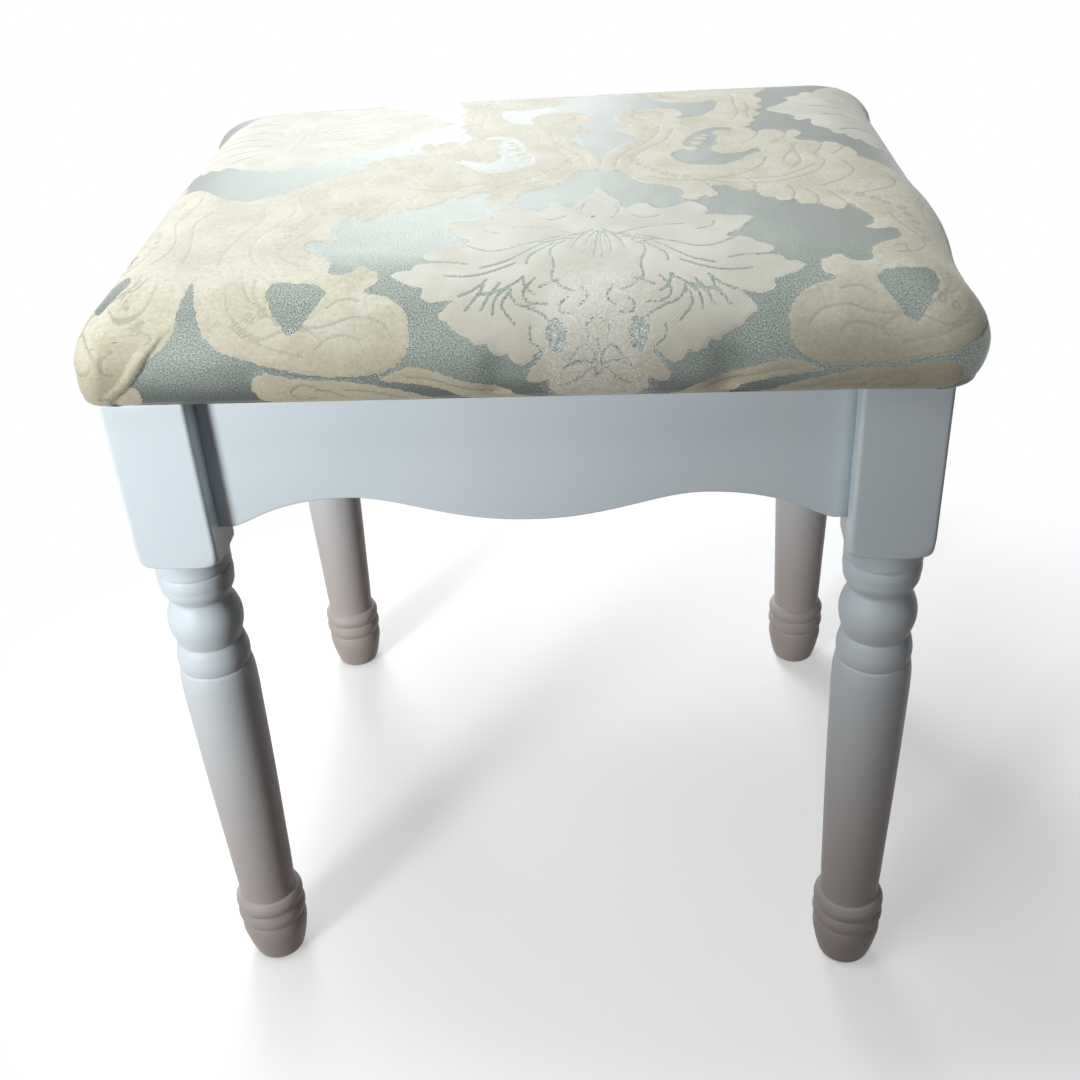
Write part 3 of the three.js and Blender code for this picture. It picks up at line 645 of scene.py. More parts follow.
def bezier(p0, p1, p2, p3, count):
    """Cubic curve through shares of its four handles, without its last point."""
    t = (np.arange(count) / count)[:, None]
    handles = [np.array(p, float) for p in (p0, p1, p2, p3)]
    shares = ((1 - t) ** 3, 3 * t * (1 - t) ** 2, 3 * t**2 * (1 - t), t**3)
    return sum(share * handle for share, handle in zip(shares, handles))


def scallop(half):
    """Places along an apron and its lower edge's rise over the ears, from end to end."""
    ear, crest, middle = (EAR_SHARE, 0), (CREST_SHARE, 1), (0, MIDDLE_RISE_SHARE)
    outer = bezier(ear, *EAR_CURVE_SHARES, crest, EAR_STOPS)
    inner = bezier(crest, *DROP_CURVE_SHARES, middle, DROP_STOPS)
    side = np.concatenate([[[1, 0]], outer, inner])
    whole = np.concatenate([side * (-1, 1), [middle], side[::-1]])
    return whole[:, 0] * half, whole[:, 1] * ARCH_RISE


def apron_points(low, high, along_x):
    """An apron as rings across it: a rectangle with rounded edges, its foot on the scallop."""
    axis = 0 if along_x else 1
    half, thick = (high[axis] - low[axis]) / 2, (high[1 - axis] - low[1 - axis]) / 2
    middle = (low + high) / 2
    along, rise = scallop(half)
    bottom = low[2] + rise
    turn = np.linspace(0, np.pi / 2, 5)
    out, down = np.cos(turn) * EDGE_ROUND, np.sin(turn) * EDGE_ROUND
    flat = thick - EDGE_ROUND
    across = np.concatenate([-flat - out, flat + out[::-1], flat + out, -flat - out[::-1]])
    lift = np.concatenate([-down, -down[::-1], down, down[::-1]])
    is_top = np.arange(len(across)) >= len(across) // 2
    ring_z = np.where(is_top, high[2] - EDGE_ROUND, bottom[:, None] + EDGE_ROUND) + lift
    ring_along = np.broadcast_to(along[:, None], ring_z.shape)
    ring_across = np.broadcast_to(across, ring_z.shape)
    if along_x:
        plan = [middle[0] + ring_along, middle[1] + ring_across]
    else:
        plan = [middle[0] - ring_across, middle[1] + ring_along]
    points = between_poles(np.stack([*plan, ring_z], -1))
    return points, tube_faces(len(along), len(across))


def pad_section():
    """Stops along the pad's section: inset from the widest line, height, and cloth run.

    The shoulder leaves the flat top softly: its height squared and its reach to a power
    add up to one. A quarter ellipse is tucked under it, and then come a small round lip
    and the flange under the board.
    """
    shoulder_stops, tuck_stops, lip_stops, flange_stops = SECTION_STOPS
    turn = np.linspace(0, 1, shoulder_stops)[:-1] ** STOP_CROWDING * np.pi / 2
    under = np.linspace(0, np.pi / 2, tuck_stops)[:-1]
    lip = np.linspace(0, np.pi / 2, lip_stops)[:-1]
    back = np.linspace(0, 1, flange_stops)
    inset = [
        SHOULDER_REACH * (1 - np.sin(turn) ** (2 / SHOULDER_POWER)),
        BULGE * (1 - np.cos(under)),
        BULGE + LIP * (1 - np.cos(lip)),
        BULGE + LIP + FLANGE * back,
    ]
    height = [
        WIDE_HEIGHT + SHOULDER_RISE_PAD * np.cos(turn),
        WIDE_HEIGHT - (WIDE_HEIGHT - LIP) * np.sin(under),
        LIP * (1 - np.sin(lip)),
        np.zeros(back.shape),
    ]
    marks = np.cumsum([len(part) for part in height])
    inset, height = np.concatenate(inset), np.concatenate(height)
    run = np.concatenate([[0], np.cumsum(np.hypot(np.diff(inset), np.diff(height)))])
    return inset, height, run, run[marks[:-1]]


INSET, HEIGHT, RUN, (WIDE_RUN, TUCK_END, LIP_END) = pad_section()
RIM_END = CORNER_TOP
WIDE_X, WIDE_Y = LIP_X + BULGE, LIP_Y + BULGE
CORE_X, CORE_Y = WIDE_X - SHOULDER_REACH, WIDE_Y - SHOULDER_REACH
PAD_TOP = WIDE_HEIGHT + SHOULDER_RISE_PAD


def corner_radius(run):
    """The pad's corners in plan: round at the rim, rounder at the widest, tight at the lip."""
    grow = smooth_step(RIM_END, WIDE_RUN, run)
    tuck = smooth_step(WIDE_RUN, TUCK_END, run)
    radius = CORNER_TOP + (CORNER_WIDE - CORNER_TOP) * grow + (CORNER_LIP - CORNER_WIDE) * tuck
    return np.where(run < RIM_END, run, radius)


def round_plan(a, b, half_x, half_y, radius):
    """Places of sheet points on a rectangle with rounded corners, and which way they face.

    The result is for the corner where both are positive. A point's angle is 0 on the side
    faces, 90 degrees on the front and back faces and between them round the corners.
    """
    over_x = np.maximum(np.abs(a) - CORE_X, 0)
    over_y = np.maximum(np.abs(b) - CORE_Y, 0)
    run = np.maximum(over_x, over_y)
    least = np.minimum(over_x, over_y) / np.maximum(run, TINY) / 2
    angle = np.where(over_x >= over_y, least, 1 - least) * np.pi / 2
    along_x, along_y = np.minimum(np.abs(a) / CORE_X, 1), np.minimum(np.abs(b) / CORE_Y, 1)
    facing_x = np.where(over_x > 0, np.cos(angle), 0)
    facing_y = np.where(over_y > 0, np.sin(angle), 0)
    x = (half_x - radius) * along_x + radius * facing_x
    y = (half_y - radius) * along_y + radius * facing_y
    return x, y, angle, facing_x, facing_y


def cloth_flat(a, b, half_x, half_y, radius, height, run):
    """The cloth's flat coordinates at sheet points, and how far each lies past a corner's crease.

    On the top they are plan coordinates and down a face the run takes over. Round a left
    corner the side's cloth is carried on to the front or back face as far as the crease, and
    round a right one the front's or back's cloth on to the side. It fades out at the shoulder.
    """
    x, y, angle, facing_x, facing_y = round_plan(a, b, half_x, half_y, radius)
    flat_x, flat_y = half_x - radius, half_y - radius
    u = np.where(facing_x > 0, flat_x + (CORE_X + run - flat_x) * facing_x, x)
    v = np.where(facing_y > 0, flat_y + (CORE_Y + run - flat_y) * facing_y, y)
    past_x = flat_x - np.minimum(flat_x, flat_x * np.abs(a) / CORE_X)
    past_y = flat_y - np.minimum(flat_y, flat_y * np.abs(b) / CORE_Y)
    from_side = a < 0
    past = np.where(from_side, past_x, past_y)
    beyond = np.where(from_side, facing_y, facing_x) > 0
    crease = past - CREASE_FOOT - CREASE_SLOPE * height
    carry = (crease < 0) * beyond * (1 - smooth_step(*CREASE_FADE, height))
    turned = radius * np.where(from_side, angle, np.pi / 2 - angle) + past
    u = u + (np.where(from_side, CORE_X + run, flat_x + turned) - u) * carry
    v = v + (np.where(from_side, flat_y + turned, CORE_Y + run) - v) * carry
    return np.sign(a) * u, np.sign(b) * v, np.where(beyond, crease, -FAR)


def pad_surface(a, b):
    """Places of sheet points (a, b) on the pad, and the cloth's flat coordinates there.

    A point beyond the flat core goes down the section by how far it lies outside, and
    round the corner by the angle that its two overhangs make. The ears at the corners,
    the uneven sides, the crown, the drop at the back left, the corner creases and the
    dimples along the hem are added to that.
    """
    run = np.maximum(np.maximum(np.abs(a) - CORE_X, np.abs(b) - CORE_Y), 0)
    outside = run > 0
    inset, height = np.interp(run, RUN, INSET), np.interp(run, RUN, HEIGHT)
    radius = corner_radius(run)
    half_x = np.where(outside, WIDE_X - inset, CORE_X)
    half_y = np.where(outside, WIDE_Y - inset, CORE_Y)
    x, y, angle, facing_x, facing_y = round_plan(a, b, half_x, half_y, radius)
    u, v, crease = cloth_flat(a, b, half_x, half_y, radius, height, run)
    past = np.maximum(half_x - radius - x, 0) + np.maximum(half_y - radius - y, 0)
    from_corner = radius * np.abs(angle - np.pi / 4) + past
    foot = np.where(a < 0, EAR_FOOT_LEFT, EAR_FOOT_RIGHT)
    low = foot + (1 - foot) * smooth_step(0, EAR_HEIGHT, height)
    high = smooth_step(0, PAD_TOP - EAR_HEIGHT, PAD_TOP - height)
    ear = np.where(a < 0, EAR_LEFT, EAR_RIGHT) * low * high * bell(from_corner, EAR_REACH)
    back = np.sign(b) * y
    left = LEFT_SET + LEFT_SKEW * back
    left = left + BACK_LEFT_OUT * smooth_step(BACK_LEFT_START, 1, back / WIDE_Y)
    right = RIGHT_BULGE * bell(back - RIGHT_PLACE, RIGHT_WIDTH)
    right = right - BACK_RIGHT_IN * smooth_step(0, BACK_RIGHT_END, back / WIDE_Y)
    lean = np.where(a < 0, left, right) * smooth_step(0, RIM_END + LEAN_RUN, run)
    out = ear + hem_relief(u, v, crease, height, run)
    x = np.sign(a) * (x + (out + lean * smooth_step(0, EAR_HEIGHT, height)) * facing_x)
    y = np.sign(b) * (y + out * facing_y)
    over_y = np.clip(1 - (y / (WIDE_Y - CROWN_INSET)) ** 2, 0, 1)
    crown = CROWN * np.clip(1 - (x / WIDE_X) ** 2, 0, 1) * over_y
    drop = BACK_DROP * smooth_step(DROP_START, 1, y / WIDE_Y) * (1 - x / WIDE_X) / 2
    z = height + crown * (run < TUCK_END) - drop * np.clip(height / PAD_TOP, 0, 1)
    return np.stack([x, y, z], -1), u, v


def hem_relief(u, v, crease, height, run):
    """How far the cloth stands out beside its corner creases and sinks at the hem's dimples."""
    fade = (1 - smooth_step(*CREASE_FADE, height)) * (run > RIM_END) * (run < LIP_END)
    groove = -GROOVE_DEPTH * bell(crease + CREASE_BAND, GROOVE_WIDTH)
    band = BAND_RISE * smooth_step(-CREASE_BAND - 1, -CREASE_BAND + 1, crease) * (crease < 0)
    sunk = -CREASE_SINK * np.exp(-np.maximum(crease, 0) / CREASE_SPREAD) * (crease > 0)
    relief = (groove + band + sunk) * fade
    level = smooth_step(*DIMPLE_FOOT, height) * (1 - smooth_step(*DIMPLE_FADE, height))
    face_x, face_y = CORE_X + FACE_RUN, CORE_Y + FACE_RUN
    front, back = np.where(v < -face_y, u, FAR), np.where(v > face_y, u, FAR)
    side = np.where(np.abs(u) > face_x, v, FAR)
    for along, dimples in ((front, HEM_DIMPLES), (side, SIDE_DIMPLES), (back, SIDE_DIMPLES)):
        for place, width, depth in dimples:
            relief = relief - depth * level * bell(along - place, width)
    return relief


def sheet_grid():
    """Evenly spaced sheet points that reach from the pad's middle to the flange's end."""
    reach_x, reach_y = CORE_X + RUN[-1], CORE_Y + RUN[-1]
    count_x, count_y = round(reach_x / CLOTH_STEP), round(reach_y / CLOTH_STEP)
    a = np.linspace(-reach_x, reach_x, 2 * count_x + 1)
    b = np.linspace(-reach_y, reach_y, 2 * count_y + 1)
    return np.meshgrid(a, b)


def rounded(points):
    """A closed line with each corner cut once, a fixed share along the sides that meet there."""
    p = np.array(points, float)
    after = np.roll(p, -1, 0)
    near, far = 1 - CORNER_CUT, CORNER_CUT
    return np.stack([near * p + far * after, far * p + near * after], 1).reshape(-1, 2)


def line_distance(u, v, points, closed):
    """Least distance to a chain of straight stretches, and whether it winds round the place."""
    best = np.full(u.shape, FAR)
    inside = np.zeros(u.shape, bool)
    ends = np.roll(points, -1, 0) if closed else points[1:]
    for (x0, y0), (x1, y1) in zip(points, ends):
        dx, dy = x1 - x0, y1 - y0
        t = np.clip(((u - x0) * dx + (v - y0) * dy) / max(dx * dx + dy * dy, TINY), 0, 1)
        best = np.minimum(best, (u - x0 - t * dx) ** 2 + (v - y0 - t * dy) ** 2)
        if closed and y0 != y1:
            inside ^= ((y0 > v) != (y1 > v)) & (u < x0 + (v - y0) * dx / dy)
    return np.sqrt(best), inside


def flowing(points):
    """A smooth line through the points: each span a cubic that follows its neighbours' chords."""
    p = np.array(points, float)
    p = np.vstack([2 * p[0] - p[1], p, 2 * p[-1] - p[-2]])
    t = (np.arange(VEIN_STRETCHES) / VEIN_STRETCHES)[:, None]
    spans = []
    for a, b, c, d in zip(p, p[1:], p[2:], p[3:]):
        bend, twist = 2 * a - 5 * b + 4 * c - d, 3 * b - a - 3 * c + d
        spans.append(b + ((c - a) * t + bend * t**2 + twist * t**3) / 2)
    return np.vstack([*spans, p[-2:-1]])


def shape(u, v, points):
    """Signed distance to a closed outline, positive inside it."""
    distance, inside = line_distance(u, v, rounded(points), True)
    return np.where(inside, distance, -distance)


def pattern_grid():
    """Signed distance to the motifs' edge (inside is positive), to palmettes, and to veins."""
    u = np.arange(PATTERN_AXIS, PATTERN_AXIS + PATTERN_HALF + PATTERN_GRID, PATTERN_GRID)
    v = np.arange(PATTERN_LOW, PATTERN_HIGH + PATTERN_GRID, PATTERN_GRID)
    uu, vv = np.meshgrid(u, v)
    body = shape(uu, vv, SCROLL_BODY)
    pocket = shape(uu, vv, SCROLL_POCKET)
    for x, y, r in POCKET_BUDS:
        pocket = np.minimum(pocket, np.hypot(uu - x, vv - y) - r)
    body = np.minimum(body, -pocket)
    body = np.minimum(body, -shape(uu, vv, HEAD_POCKET))
    for points in (SPRAY_LONG, SPRAY_SHORT):
        body = np.maximum(body, shape(uu, vv, points))
    palmettes = np.minimum(shape(uu, vv, PALMETTE), -shape(uu, vv, PALMETTE_POCKET))
    palmettes = np.maximum(palmettes, shape(uu, vv, SIDE_PALMETTE))
    veins = np.full(uu.shape, FAR)
    for points in VEINS:
        line = flowing(points)
        (low_u, low_v), (high_u, high_v) = line.min(0) - VEIN_REACH, line.max(0) + VEIN_REACH
        near = np.ix_((v > low_v) & (v < high_v), (u > low_u) & (u < high_u))
        veins[near] = np.minimum(veins[near], line_distance(uu[near], vv[near], line, False)[0])
    for x, y in PEARLS:
        ring = np.hypot(uu - x, (vv - y) * PEARL_STRETCH) - PEARL_RADIUS
        veins = np.minimum(veins, np.abs(ring))
    kind = np.clip(palmettes - body, -KIND_LIMIT, KIND_LIMIT)
    return np.maximum(body, palmettes), kind, np.minimum(veins, NO_VEIN)


def paint_material():
    """Satin paint over wood: near white, faintly blue, with small scuffs, and painted shade and warm floor
    reflection low down.
    """
    shader = Shader("painted_wood")
    where = shader.place()
    broad = shader.noise(where, 0.02, 3.0)
    brush_lay = shader.noise(shader.place((1, 1, 0.12)), 0.9, 3.0)
    # Painted shade and a painted reflection of the warm floor: the paint grows darker and warmer towards the
    # feet
    painted_shade_near_floor = 1 - where.part(2).rise(20, 300)
    colour = shader.mix(broad, linear(209, 223, 231), linear(217, 230, 236))
    colour = shader.mix(painted_shade_near_floor * 0.7, colour, linear(186, 167, 155))
    marks = shader.noise(where, 0.11, 5.0, 0.75).rise(0.72, 0.76)
    shader.surface(
        Base_Color=shader.mix(marks * 0.4, colour, linear(112, 116, 122)),
        Roughness=0.4 + broad * 0.12,
        Normal=shader.bump(brush_lay, 0.12, 0.25),
        Specular_IOR_Level=0.3,
    )
    return shader.material


def damask_material():
    """Matte leaves over a metallic satin ground, with satin thread in the veins.

    The palmettes are greyer than the scrolls and woven in dots, and their heart is sprinkled
    with curls of satin thread. The satin glitters, because its threads do not lie even.
    """
    shader = Shader("damask")
    cloth = shader.node("ShaderNodeUVMap", {"uv_map": "cloth"})
    grain = shader.noise(cloth, 0.7, 4.0, 0.7)
    ragged = shader.noise(cloth, 0.28, 3.0, 0.6)
    glitter = shader.noise(cloth, 1.3, 4.0, 0.85)
    rumple = shader.noise(cloth, 0.03, 2.0)
    tangle = shader.noise(cloth, 0.045, 3.0).rise(0.35, 0.65)
    mottle = shader.noise(cloth, 0.4, 4.0, 0.75)
    height = shader.place().part(2)

    # Where each weave shows
    is_palmette = shader.attribute("palmette").rise(-0.3, 0.3)
    edge = shader.attribute("motif") + (grain - 0.5) * 1.6 + (ragged - 0.5) * 3.2
    leaf = edge.rise(-0.25, 0.25)
    line = 1 - (shader.attribute("veins") + (grain - 0.5) * 1.1).rise(0.45, 0.95)
    curls = 1 - abs(shader.noise(cloth, 0.5, 2.0, 0.6, 1.2) - 0.5).rise(0.02, 0.055)
    threads = curls * (shader.attribute("lace") + (grain - 0.5) * 1.5).rise(0.15, 0.7)
    satin_share = 1 - leaf * (1 - line * (0.3 + 0.7 * is_palmette))
    dots = ((cloth.part(0) * 3.6).wave() * (cloth.part(1) * 3.6).wave()).rise(-0.2, 0.6)

    # Matte leaves: scrolls mottled brown and cream, palmettes dotted, both with painted shade towards the
    # hem
    scroll = shader.mix(tangle, linear(184, 182, 160), linear(200, 199, 182))
    scroll = shader.mix(mottle.rise(0.48, 0.66) * 0.42, scroll, linear(154, 146, 114))
    scroll = shader.mix((1 - mottle.rise(0.34, 0.48)) * 0.32, scroll, linear(226, 225, 213))
    palmette = shader.mix(tangle, linear(194, 195, 182), linear(209, 210, 200))
    palmette = shader.mix(dots * 0.4, palmette, linear(160, 158, 142))
    matte = shader.mix(is_palmette, scroll, palmette)
    # Painted shade and warm floor reflection: the leaves grow darker and yellower down the pad's side to the
    # hem
    matte = shader.mix((1 - height.rise(394, 437)) * 0.43, matte, linear(156, 144, 110))
    matte = shader.mix(grain.rise(0.4, 0.75) * 0.35, matte, linear(216, 215, 203))
    # Painted shade in the vein grooves: the leaves darken along their veins
    matte = shader.mix(line * 0.32, matte, linear(126, 118, 92))
    matte = shader.mix((1 - cloth.apart(SPECK).rise(0.6, 1.6)) * 0.8, matte, linear(60, 54, 50))

    # Satin ground, with painted shade that darkens it under the hem
    satin = shader.mix(glitter.rise(0.38, 0.66), linear(76, 85, 80), linear(152, 161, 154))
    satin = shader.mix((1 - height.rise(387, 402)) * 0.6, satin, linear(48, 54, 54))
    colour = shader.mix(satin_share, matte, satin)
    fine = shader.bump(glitter * (satin_share * 0.65 + 0.35), 0.65, 0.5)
    shader.surface(
        Base_Color=shader.mix(threads * 0.8, colour, linear(226, 228, 222)),
        Metallic=satin_share * (1 - threads) * 0.85,
        Roughness=0.62 - satin_share * 0.3 + (glitter - 0.5) * 0.3,
        Normal=shader.bump(rumple, 0.5, 2.0, fine),
        Sheen_Weight=0.25,
        Sheen_Roughness=0.5,
    )
    return shader.material


def wood_material(name, light, dark, grain_along, roughness):
    """Bare wood: long streaks along the grain over a broad change of tone."""
    shader = Shader(name)
    streaks = shader.noise(shader.place(grain_along), 0.35, 4.0, 0.65, 0.8)
    broad = shader.noise(shader.place(), 0.02, 2.0)
    tone = (streaks * 0.8 + broad * 0.3).rise(0.35, 0.75)
    shader.surface(
        Base_Color=shader.mix(tone, linear(*light), linear(*dark)),
        Roughness=roughness + streaks * 0.15,
        Normal=shader.bump(streaks, 0.2, 0.3),
    )
    return shader.material


def steel_material():
    """Zinc-plated steel with a faint warm cast and small dull patches."""
    shader = Shader("zinc_steel")
    patches = shader.noise(shader.place(), 0.5, 4.0, 0.7)
    colour = shader.mix(patches.rise(0.4, 0.7), linear(188, 188, 184), linear(150, 146, 134))
    shader.surface(Base_Color=colour, Roughness=0.28 + patches * 0.25, Metallic=1.0)
    return shader.material


def felt_material():
    """Black spun cloth: short pressed fibres with paler flecks."""
    shader = Shader("dust_cloth")
    fibres = [
        shader.noise(shader.place(stretch), 1.6, 4.0, 0.75, 0.6)
        for stretch in ((1, 0.3, 1), (0.3, 1, 1))
    ]
    both = fibres[0].most(fibres[1])
    shader.surface(
        Base_Color=shader.mix(both.rise(0.45, 0.75), linear(24, 24, 27), linear(66, 66, 70)),
        Roughness=0.95,
        Normal=shader.bump(both, 0.5, 0.3),
    )
    return shader.material


def glide_material():
    """Off-white plastic, scuffed where it stands."""
    shader = Shader("plastic_glide")
    where = shader.place()
    scuffs = shader.noise(where, 0.8, 4.0, 0.75)
    worn = scuffs.rise(0.45, 0.65) * (1 - where.part(2).rise(0, 2))
    colour = shader.mix(worn * 0.7, linear(224, 220, 210), linear(120, 110, 98))
    shader.surface(Base_Color=colour, Roughness=0.45 + scuffs * 0.2)
    return shader.material


def finish_piece(piece, slot, *nodes):
    """Rides the piece on the one body and hides the CAD nodes that it stands for; the slot is not used."""
    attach(piece, "root")
    if nodes:
        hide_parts(*nodes)


def build_legs(material):
    for corner, (side_x, side_y) in CORNERS.items():
        points, faces = leg_points(side_x, side_y)
        leg = mesh_piece(f"turned_leg_{corner}", points, faces, material)
        finish_piece(leg, "painted_wood", f"leg_{corner}")


def build_aprons(material):
    for side in ("front", "right", "back", "left"):
        node = f"apron_{side}"
        points, faces = apron_points(*box_mm(node), side in ("front", "back"))
        rail = mesh_piece(f"scalloped_apron_{side}", points, faces, material)
        finish_piece(rail, "painted_wood", node)


def pattern_places(u, v):
    """Where cloth points fall in the half repeat, after the pull that set the cloth askew."""
    outwards, upwards = PULL_PLACES
    pull = smooth_step(*outwards, PATTERN_AXIS - u) * smooth_step(*upwards, v)
    outwards, start, end = EDGE_PLACES
    edge = smooth_step(*outwards, -u) * smooth_step(*start, -v) * (1 - smooth_step(*end, -v))
    outwards, start = CORNER_PLACES
    low = smooth_step(*outwards, -u) * smooth_step(*start, -v)
    u = u - PULL_ACROSS * pull
    v = v + PULL_ALONG * pull - LEFT_EDGE_PULL * edge + LEFT_CORNER_PULL * low
    across = np.abs(u - PATTERN_AXIS)
    across = np.abs((across + PATTERN_HALF) % (2 * PATTERN_HALF) - PATTERN_HALF)
    return across, (v - PATTERN_LOW) % (PATTERN_HIGH - PATTERN_LOW)


def sample(table, across, along):
    """Values of a table between its grid points, weighted by the distances to its four corners."""
    i, j = along / PATTERN_GRID, across / PATTERN_GRID
    i0 = np.minimum(i.astype(int), table.shape[0] - 2)
    j0 = np.minimum(j.astype(int), table.shape[1] - 2)
    di, dj = i - i0, j - j0
    low = table[i0, j0] * (1 - dj) + table[i0, j0 + 1] * dj
    high = table[i0 + 1, j0] * (1 - dj) + table[i0 + 1, j0 + 1] * dj
    return low * (1 - di) + high * di


def grid_normals(points):
    """Unit normals of a grid of points, from the steps to their neighbours."""
    normal = np.cross(np.gradient(points, axis=1), np.gradient(points, axis=0))
    return normal / np.maximum(np.linalg.norm(normal, axis=-1, keepdims=True), TINY)


def inside_rings(a, b, flange):
    """Four rings that carry the cover's edge in to the board, up round it and over its top.

    The sheet points (a, b) and the places of the flange run round the cover's edge. The
    point in the middle of the board's top comes last.
    """
    half_x, half_y = board_high[:2] + BOARD_ROOM
    x, y, *_ = round_plan(a, b, half_x, half_y, BOARD_CORNER)
    edge = np.stack([np.sign(a) * x, np.sign(b) * y], -1)
    under, over = board_low[2] - BOARD_GAP, board_high[2] + BOARD_GAP
    levels = ((flange[:, :2], under), (edge, under), (edge, over), (edge * 0.5, over))
    rings = [np.column_stack([plan, np.full(len(plan), z)]) for plan, z in levels]
    return [*rings, [[0.0, 0.0, over]]]


def build_cover(material):
    """The pad: a fine outer skin with the woven relief, and a plain inside that wraps the board."""
    a, b = sheet_grid()
    points, u, v = pad_surface(a, b)
    across, along = pattern_places(u, v)
    motif, palmette, veins = (sample(table, across, along) for table in pattern_grid())
    rise = MOTIF_RISE * smooth_step(-MOTIF_EDGE, MOTIF_EDGE, motif)
    rise = rise + MOTIF_RIM * bell(motif - RIM_PLACE, RIM_WIDTH)
    rise = rise - VEIN_DEPTH * bell(veins, VEIN_WIDTH) * (motif > 0)
    points = points + grid_normals(points) * rise[..., None]
    points = points.reshape(-1, 3) + (0, 0, PAD_BOTTOM)
    loop = rim_loop(*a.shape)
    rings = inside_rings(a.ravel()[loop], b.ravel()[loop], points[loop])
    starts = [loop] + [len(points) + k * len(loop) + np.arange(len(loop)) for k in range(4)]
    walls = [
        np.stack([low, high, np.roll(high, -1), np.roll(low, -1)], -1)
        for low, high in zip(starts[:-1], starts[1:])
    ]
    middle = np.full(len(loop), len(points) + 4 * len(loop))
    cap = np.stack([np.roll(starts[-1], -1), starts[-1], middle], -1)
    whole = np.concatenate([points, *rings])
    cover = mesh_piece("damask_cover_cloth", whole, [grid_quads(*a.shape), *walls, cap], material)
    inside = len(whole) - len(points)
    lace = (1 - smooth_step(*LACE_ACROSS, across)) * (1 - smooth_step(*LACE_ALONG, along))
    for name, values, within in (
        ("motif", motif, OFF_MOTIF),
        ("palmette", palmette, OFF_MOTIF),
        ("veins", veins, OFF_MOTIF),
        ("lace", lace, 0),
    ):
        made = cover.data.attributes.new(name, "FLOAT", "POINT")
        values = np.concatenate([values.ravel(), np.full(inside, within)])
        made.data.foreach_set("value", values.astype(np.float32))
    flat = np.concatenate([np.stack([u, v], -1).reshape(-1, 2), np.zeros((inside, 2))])
    layer = cover.data.uv_layers.new(name="cloth")
    corners = np.empty(len(cover.data.loops), np.int32)
    cover.data.loops.foreach_get("vertex_index", corners)
    layer.data.foreach_set("uv", flat[corners].astype(np.float32).ravel())
    finish_piece(cover, "damask", "damask_cover", "foam_pad")


def staple_spots():
    """Places of the dust cloth's staples: evenly along each side, inside the aprons."""
    spots = []
    for along_x in (True, False):
        reach, across = RAIL_INSIDE[::-1] if along_x else RAIL_INSIDE
        across = across - STAPLE_INSET
        count = int(2 * (reach - STAPLE_CORNER) / STAPLE_PITCH)
        for k in range(count + 1):
            place = (k - count / 2) * STAPLE_PITCH
            for side in (-1, 1):
                spot = (place, side * across) if along_x else (side * across, place)
                spots.append((*spot, along_x))
    return spots


def dust_height(x, y):
    """The dust cloth's underside: hung a little in its middle and pulled in folds to its rim.

    The sag is the product of two parabolas. The folds are a squared cosine of the place along
    the nearer side, largest over the line of staples and fading inwards.
    """
    half_x, half_y = dust_high[:2]
    sag = DUST_SAG * (1 - (x / half_x) ** 2) * (1 - (y / half_y) ** 2)
    from_x, from_y = half_x - np.abs(x), half_y - np.abs(y)
    along = np.where(from_y < from_x, x, y)
    rim = np.minimum(from_x, from_y)
    fold = np.cos(np.pi * along / STAPLE_PITCH) ** 2 * smooth_step(*DUST_FOLD, rim)
    fold = fold * np.exp(-np.maximum(rim - DUST_FOLD[1], 0) / DUST_FOLD[1])
    return dust_low[2] + DUST_LIFT - sag - DUST_PUCKER * fold


def build_dust_cloth(material):
    """A thin closed sheet with rounded corners, stretched under the board."""
    half_x, half_y = dust_high[:2]
    count_x, count_y = DUST_GRID
    a, b = np.meshgrid(np.linspace(-1, 1, count_x + 1), np.linspace(-1, 1, count_y + 1))
    x, y = a * half_x, b * half_y
    over_x = np.maximum(np.abs(x) - (half_x - DUST_CORNER), 0)
    over_y = np.maximum(np.abs(y) - (half_y - DUST_CORNER), 0)
    most, least = np.maximum(over_x, over_y), np.minimum(over_x, over_y)
    pull = most / np.maximum(np.hypot(most, least), TINY)
    x = x - np.sign(x) * over_x * (1 - pull)
    y = y - np.sign(y) * over_y * (1 - pull)
    low = np.stack([x, y, dust_height(x, y)], -1).reshape(-1, 3)
    points = np.concatenate([low, low + (0, 0, DUST_THICKNESS)])
    under = grid_quads(*a.shape)[:, [0, 3, 2, 1]]
    over = under[:, ::-1] + a.size
    loop = rim_loop(*a.shape)
    after = np.roll(loop, -1)
    edge = np.stack([loop, after, after + a.size, loop + a.size], -1)
    cloth = mesh_piece("dust_cloth_sheet", points, [under, over, edge], material)
    finish_piece(cloth, "dust_cloth", "dust_cloth")


